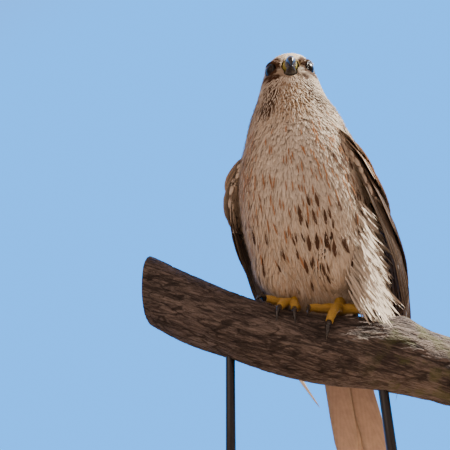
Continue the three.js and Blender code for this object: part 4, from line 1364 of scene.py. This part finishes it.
def make_base():
    low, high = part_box("stand_base")
    bpy.ops.mesh.primitive_cube_add(size=1, location=(low + high) / 2)
    obj = bpy.context.object
    obj.name = obj.data.name = "base"
    obj.data.transform(Matrix.Translation((low + high) / 2) @ Matrix.Diagonal((*(high - low), 1)))
    obj.location = (0, 0, 0)
    build = bmesh.new()
    build.from_mesh(obj.data)
    upright = [e for e in build.edges if abs(e.verts[0].co.z - e.verts[1].co.z) > 0.01]
    bmesh.ops.bevel(build, geom=upright, offset=BASE_CORNER, segments=12, affect="EDGES", profile=0.5)
    build.to_mesh(obj.data)
    build.free()
    limit = math.radians(50)
    apply_modifier(obj, "BEVEL", width=BASE_EDGE, segments=3, limit_method="ANGLE", angle_limit=limit)
    finish_piece(obj, wood_material(), ["stand_base"])
    apply_modifier(obj, "WEIGHTED_NORMAL", keep_sharp=True)


def make_rods():
    material = metal_material()
    for side in ("left", "right"):
        node = f"stand_rod_{side}"
        low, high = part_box(node)
        middle = (low + high) / 2
        build = bmesh.new()
        radius = (high.x - low.x) / 2
        base_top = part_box("stand_base")[1].z
        collar = [(base_top + rise, radius * wide) for rise, wide in COLLAR]
        outline = [(low.z, 0.0), (low.z, radius), *collar, (high.z, radius), (high.z, 0.0)]
        rows = []
        for z, r in outline:
            angles = [2 * math.pi * k / ROD_SIDES for k in range(ROD_SIDES)] if r > 0 else [0.0]
            ring = [(middle.x + r * math.cos(t), middle.y + r * math.sin(t), z) for t in angles]
            rows.append([build.verts.new(point) for point in ring])
        for a, b in zip(rows, rows[1:]):
            for k in range(ROD_SIDES):
                ring = [a[k % len(a)], a[(k + 1) % len(a)], b[(k + 1) % len(b)], b[k % len(b)]]
                build.faces.new(dict.fromkeys(ring))
        bmesh.ops.recalc_face_normals(build, faces=build.faces)
        mesh = bpy.data.meshes.new(f"rod_{side}")
        build.to_mesh(mesh)
        build.free()
        obj = new_object(f"rod_{side}", mesh)
        finish_piece(obj, material, [node])
        apply_modifier(obj, "EDGE_SPLIT", split_angle=math.radians(40))


# Operators


class HAWK_OT_body(bpy.types.Operator):
    """Skin and small feathers of head, neck, torso and thighs"""

    bl_idname = "hawk.body"
    bl_label = "Body"

    def execute(self, context):
        sizes, colours = context.scene.hawk_sizes, context.scene.hawk_colours
        random = np.random.default_rng(sizes.seed)
        skin = make_skin(sizes)
        down = plain_material("skin_down", (0.42, 0.33, 0.24), 0.9)
        tree = tree_of(skin)
        dress_body(skin, tree, sizes, colours, random)
        dress_streaks(skin, tree, sizes, colours, random)
        dress_flank(colours, random)
        dress_wisps(skin, tree, sizes, colours, random)
        finish_piece(skin, down, FLESH)
        return {"FINISHED"}


class HAWK_OT_wings(bpy.types.Operator):
    """Flight feathers and coverts of both folded wings"""

    bl_idname = "hawk.wings"
    bl_label = "Wings"

    def execute(self, context):
        scene = context.scene
        for k, which in enumerate(WINGS):
            random = np.random.default_rng(scene.hawk_sizes.seed + 10 + k)
            dress_wing(which, scene.hawk_colours, random)
        return {"FINISHED"}


class HAWK_OT_tail(bpy.types.Operator):
    """Tail feathers and the coverts at their root"""

    bl_idname = "hawk.tail"
    bl_label = "Tail"

    def execute(self, context):
        dress_tail(context.scene.hawk_colours, np.random.default_rng(context.scene.hawk_sizes.seed + 20))
        return {"FINISHED"}


# Which way each half of the bill runs, from where to where in millimetres, its colours at root and tip, and
# where between the two it changes
BILL = {
    "bill_upper": dict(
        axis=(0, -0.8, -0.6),
        reach=(36, 56),
        root=(0.17, 0.19, 0.22),
        tip=(0.012, 0.012, 0.014),
        change=(0.1, 0.75),
    ),
    "bill_lower": dict(
        axis=(0, -1, 0), reach=(32, 54), root=(0.24, 0.24, 0.22), tip=(0.02, 0.02, 0.022), change=(0.2, 0.8)
    ),
}


class HAWK_OT_face(bpy.types.Operator):
    """Eyes, lids, cere and bill"""

    bl_idname = "hawk.face"
    bl_label = "Face"

    def execute(self, context):
        for name, side in (("left", 1), ("right", -1)):
            make_eye(name, side)
        for node, look in BILL.items():
            horn = rounded([node], f"{node}_horn", 0.0004, 3)
            add_along(horn, HEAD, look["axis"], *look["reach"])
            material = horn_material(node, look["root"], look["tip"], *look["change"])
            finish_piece(horn, material, [node])
        cere = rounded(["cere"], "cere_skin", 0.0005, 3)
        material = skin_material("cere", tuple(context.scene.hawk_colours.cere), 420.0, 0.0001)
        finish_piece(cere, material, ["cere"])
        return {"FINISHED"}


class HAWK_OT_feet(bpy.types.Operator):
    """Scaled shanks and toes with their claws"""

    bl_idname = "hawk.feet"
    bl_label = "Feet"

    def execute(self, context):
        scaled = skin_material("foot_skin", tuple(context.scene.hawk_colours.foot), 520.0, 0.0004)
        for side in ("left", "right"):
            names = [f"foot_{side}"] + [n for n in TOES if side in n]
            foot = rounded(names, f"foot_skin_{side}", 0.0007, 6)
            finish_piece(foot, scaled, names)
        horn, g, shader = new_material("claw")
        grain = g.noise(g.place(), 700.0)
        g.feed(shader["Base Color"], g.mix(grain, (0.012, 0.011, 0.011, 1), (0.035, 0.032, 0.03, 1)))
        tune(shader, {"Roughness": 0.22, "Coat Weight": 0.4})
        for name in CLAWS:
            finish_piece(rounded([name], f"{name}_horn", 0.0004, 3), horn, [name])
        return {"FINISHED"}


class HAWK_OT_perch(bpy.types.Operator):
    """Cut branch with fissured bark and sawn ends"""

    bl_idname = "hawk.perch"
    bl_label = "Perch"

    def execute(self, context):
        make_perch(context.scene.hawk_sizes)
        return {"FINISHED"}


class HAWK_OT_stand(bpy.types.Operator):
    """Wooden base and rods"""

    bl_idname = "hawk.stand"
    bl_label = "Stand"

    def execute(self, context):
        make_base()
        make_rods()
        return {"FINISHED"}


CAMERA = dict(place=(0.0, -0.575, 0.02), pitch=math.radians(29.2), yaw=math.radians(10.0), lens=42.0)
AIM = Vector((0, 0, 0.4))
LIGHTS = (
    ("sun", "SUN", 14.0, (1.0, 0.94, 0.84), (1.9, 0.02, 2.7), 0.012),
    ("fill", "AREA", 5.0, (1.0, 0.80, 0.66), (-0.9, -1.3, 0.9), 1.2),
)
GLOW = (0.50, 0.355, 0.29)
SKY = (0.10, 0.80, 2.3)


class HAWK_OT_stage(bpy.types.Operator):
    """Floor, lights and camera"""

    bl_idname = "hawk.stage"
    bl_label = "Stage"

    def execute(self, context):
        scene = context.scene
        bpy.ops.mesh.primitive_plane_add(size=12)
        floor = bpy.context.object
        floor.name = "floor"
        floor.data.materials.append(plain_material("floor", (0.17, 0.125, 0.10), 0.8))
        world = bpy.data.worlds.new("sky")
        world.use_nodes = True
        g = Graph(world.node_tree)
        way = g.node("ShaderNodeTexCoord").outputs["Generated"]
        ahead = g.node("ShaderNodeSeparateXYZ", {0: way}).outputs[1]
        sky = g.mix(g.step(0.15, 0.6, ahead), rgba(GLOW), rgba(SKY))
        background = world.node_tree.nodes["Background"]
        g.feed(background.inputs["Color"], sky)
        background.inputs["Strength"].default_value = 1.0
        scene.world = world
        for name, kind, energy, colour, where, size in LIGHTS:
            light = bpy.data.lights.new(name, kind)
            light.energy = energy
            light.color = colour
            if kind == "SUN":
                light.angle = size
            else:
                light.size = size
            obj = bpy.data.objects.new(name, light)
            scene.collection.objects.link(obj)
            obj.location = where
            obj.rotation_euler = (AIM - Vector(where)).to_track_quat("-Z", "Y").to_euler()
        camera = bpy.data.cameras.new("camera")
        camera.lens = CAMERA["lens"]
        camera.sensor_width = 36.0
        camera.clip_start = 0.02
        obj = bpy.data.objects.new("camera", camera)
        scene.collection.objects.link(obj)
        obj.location = CAMERA["place"]
        obj.rotation_euler = (math.pi / 2 + CAMERA["pitch"], 0, CAMERA["yaw"])
        scene.camera = obj
        return {"FINISHED"}


class HAWK_PT_panel(bpy.types.Panel):
    """Sizes, colours and pieces of the hawk"""

    bl_label = "Perched Hawk"
    bl_idname = "HAWK_PT_panel"
    bl_space_type = "VIEW_3D"
    bl_region_type = "UI"
    bl_category = "Hawk"

    def draw(self, context):
        for group in (context.scene.hawk_sizes, context.scene.hawk_colours):
            for key in group.__annotations__:
                self.layout.prop(group, key)
        for operator in OPERATORS:
            self.layout.operator(operator.bl_idname)


OPERATORS = (
    HAWK_OT_body,
    HAWK_OT_wings,
    HAWK_OT_tail,
    HAWK_OT_face,
    HAWK_OT_feet,
    HAWK_OT_perch,
    HAWK_OT_stand,
    HAWK_OT_stage,
)
CLASSES = (HawkSizes, HawkColours, *OPERATORS, HAWK_PT_panel)


def register():
    for cls in CLASSES:
        bpy.utils.register_class(cls)
    bpy.types.Scene.hawk_sizes = bpy.props.PointerProperty(type=HawkSizes)
    bpy.types.Scene.hawk_colours = bpy.props.PointerProperty(type=HawkColours)


def unregister():
    del bpy.types.Scene.hawk_colours
    del bpy.types.Scene.hawk_sizes
    for cls in reversed(CLASSES):
        bpy.utils.unregister_class(cls)


def main():
    register()
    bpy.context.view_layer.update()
    bpy.ops.object.select_all(action="DESELECT")
    for operator in OPERATORS:
        family, name = operator.bl_idname.split(".")
        getattr(getattr(bpy.ops, family), name)()


if __name__ == "__main__":
    main()
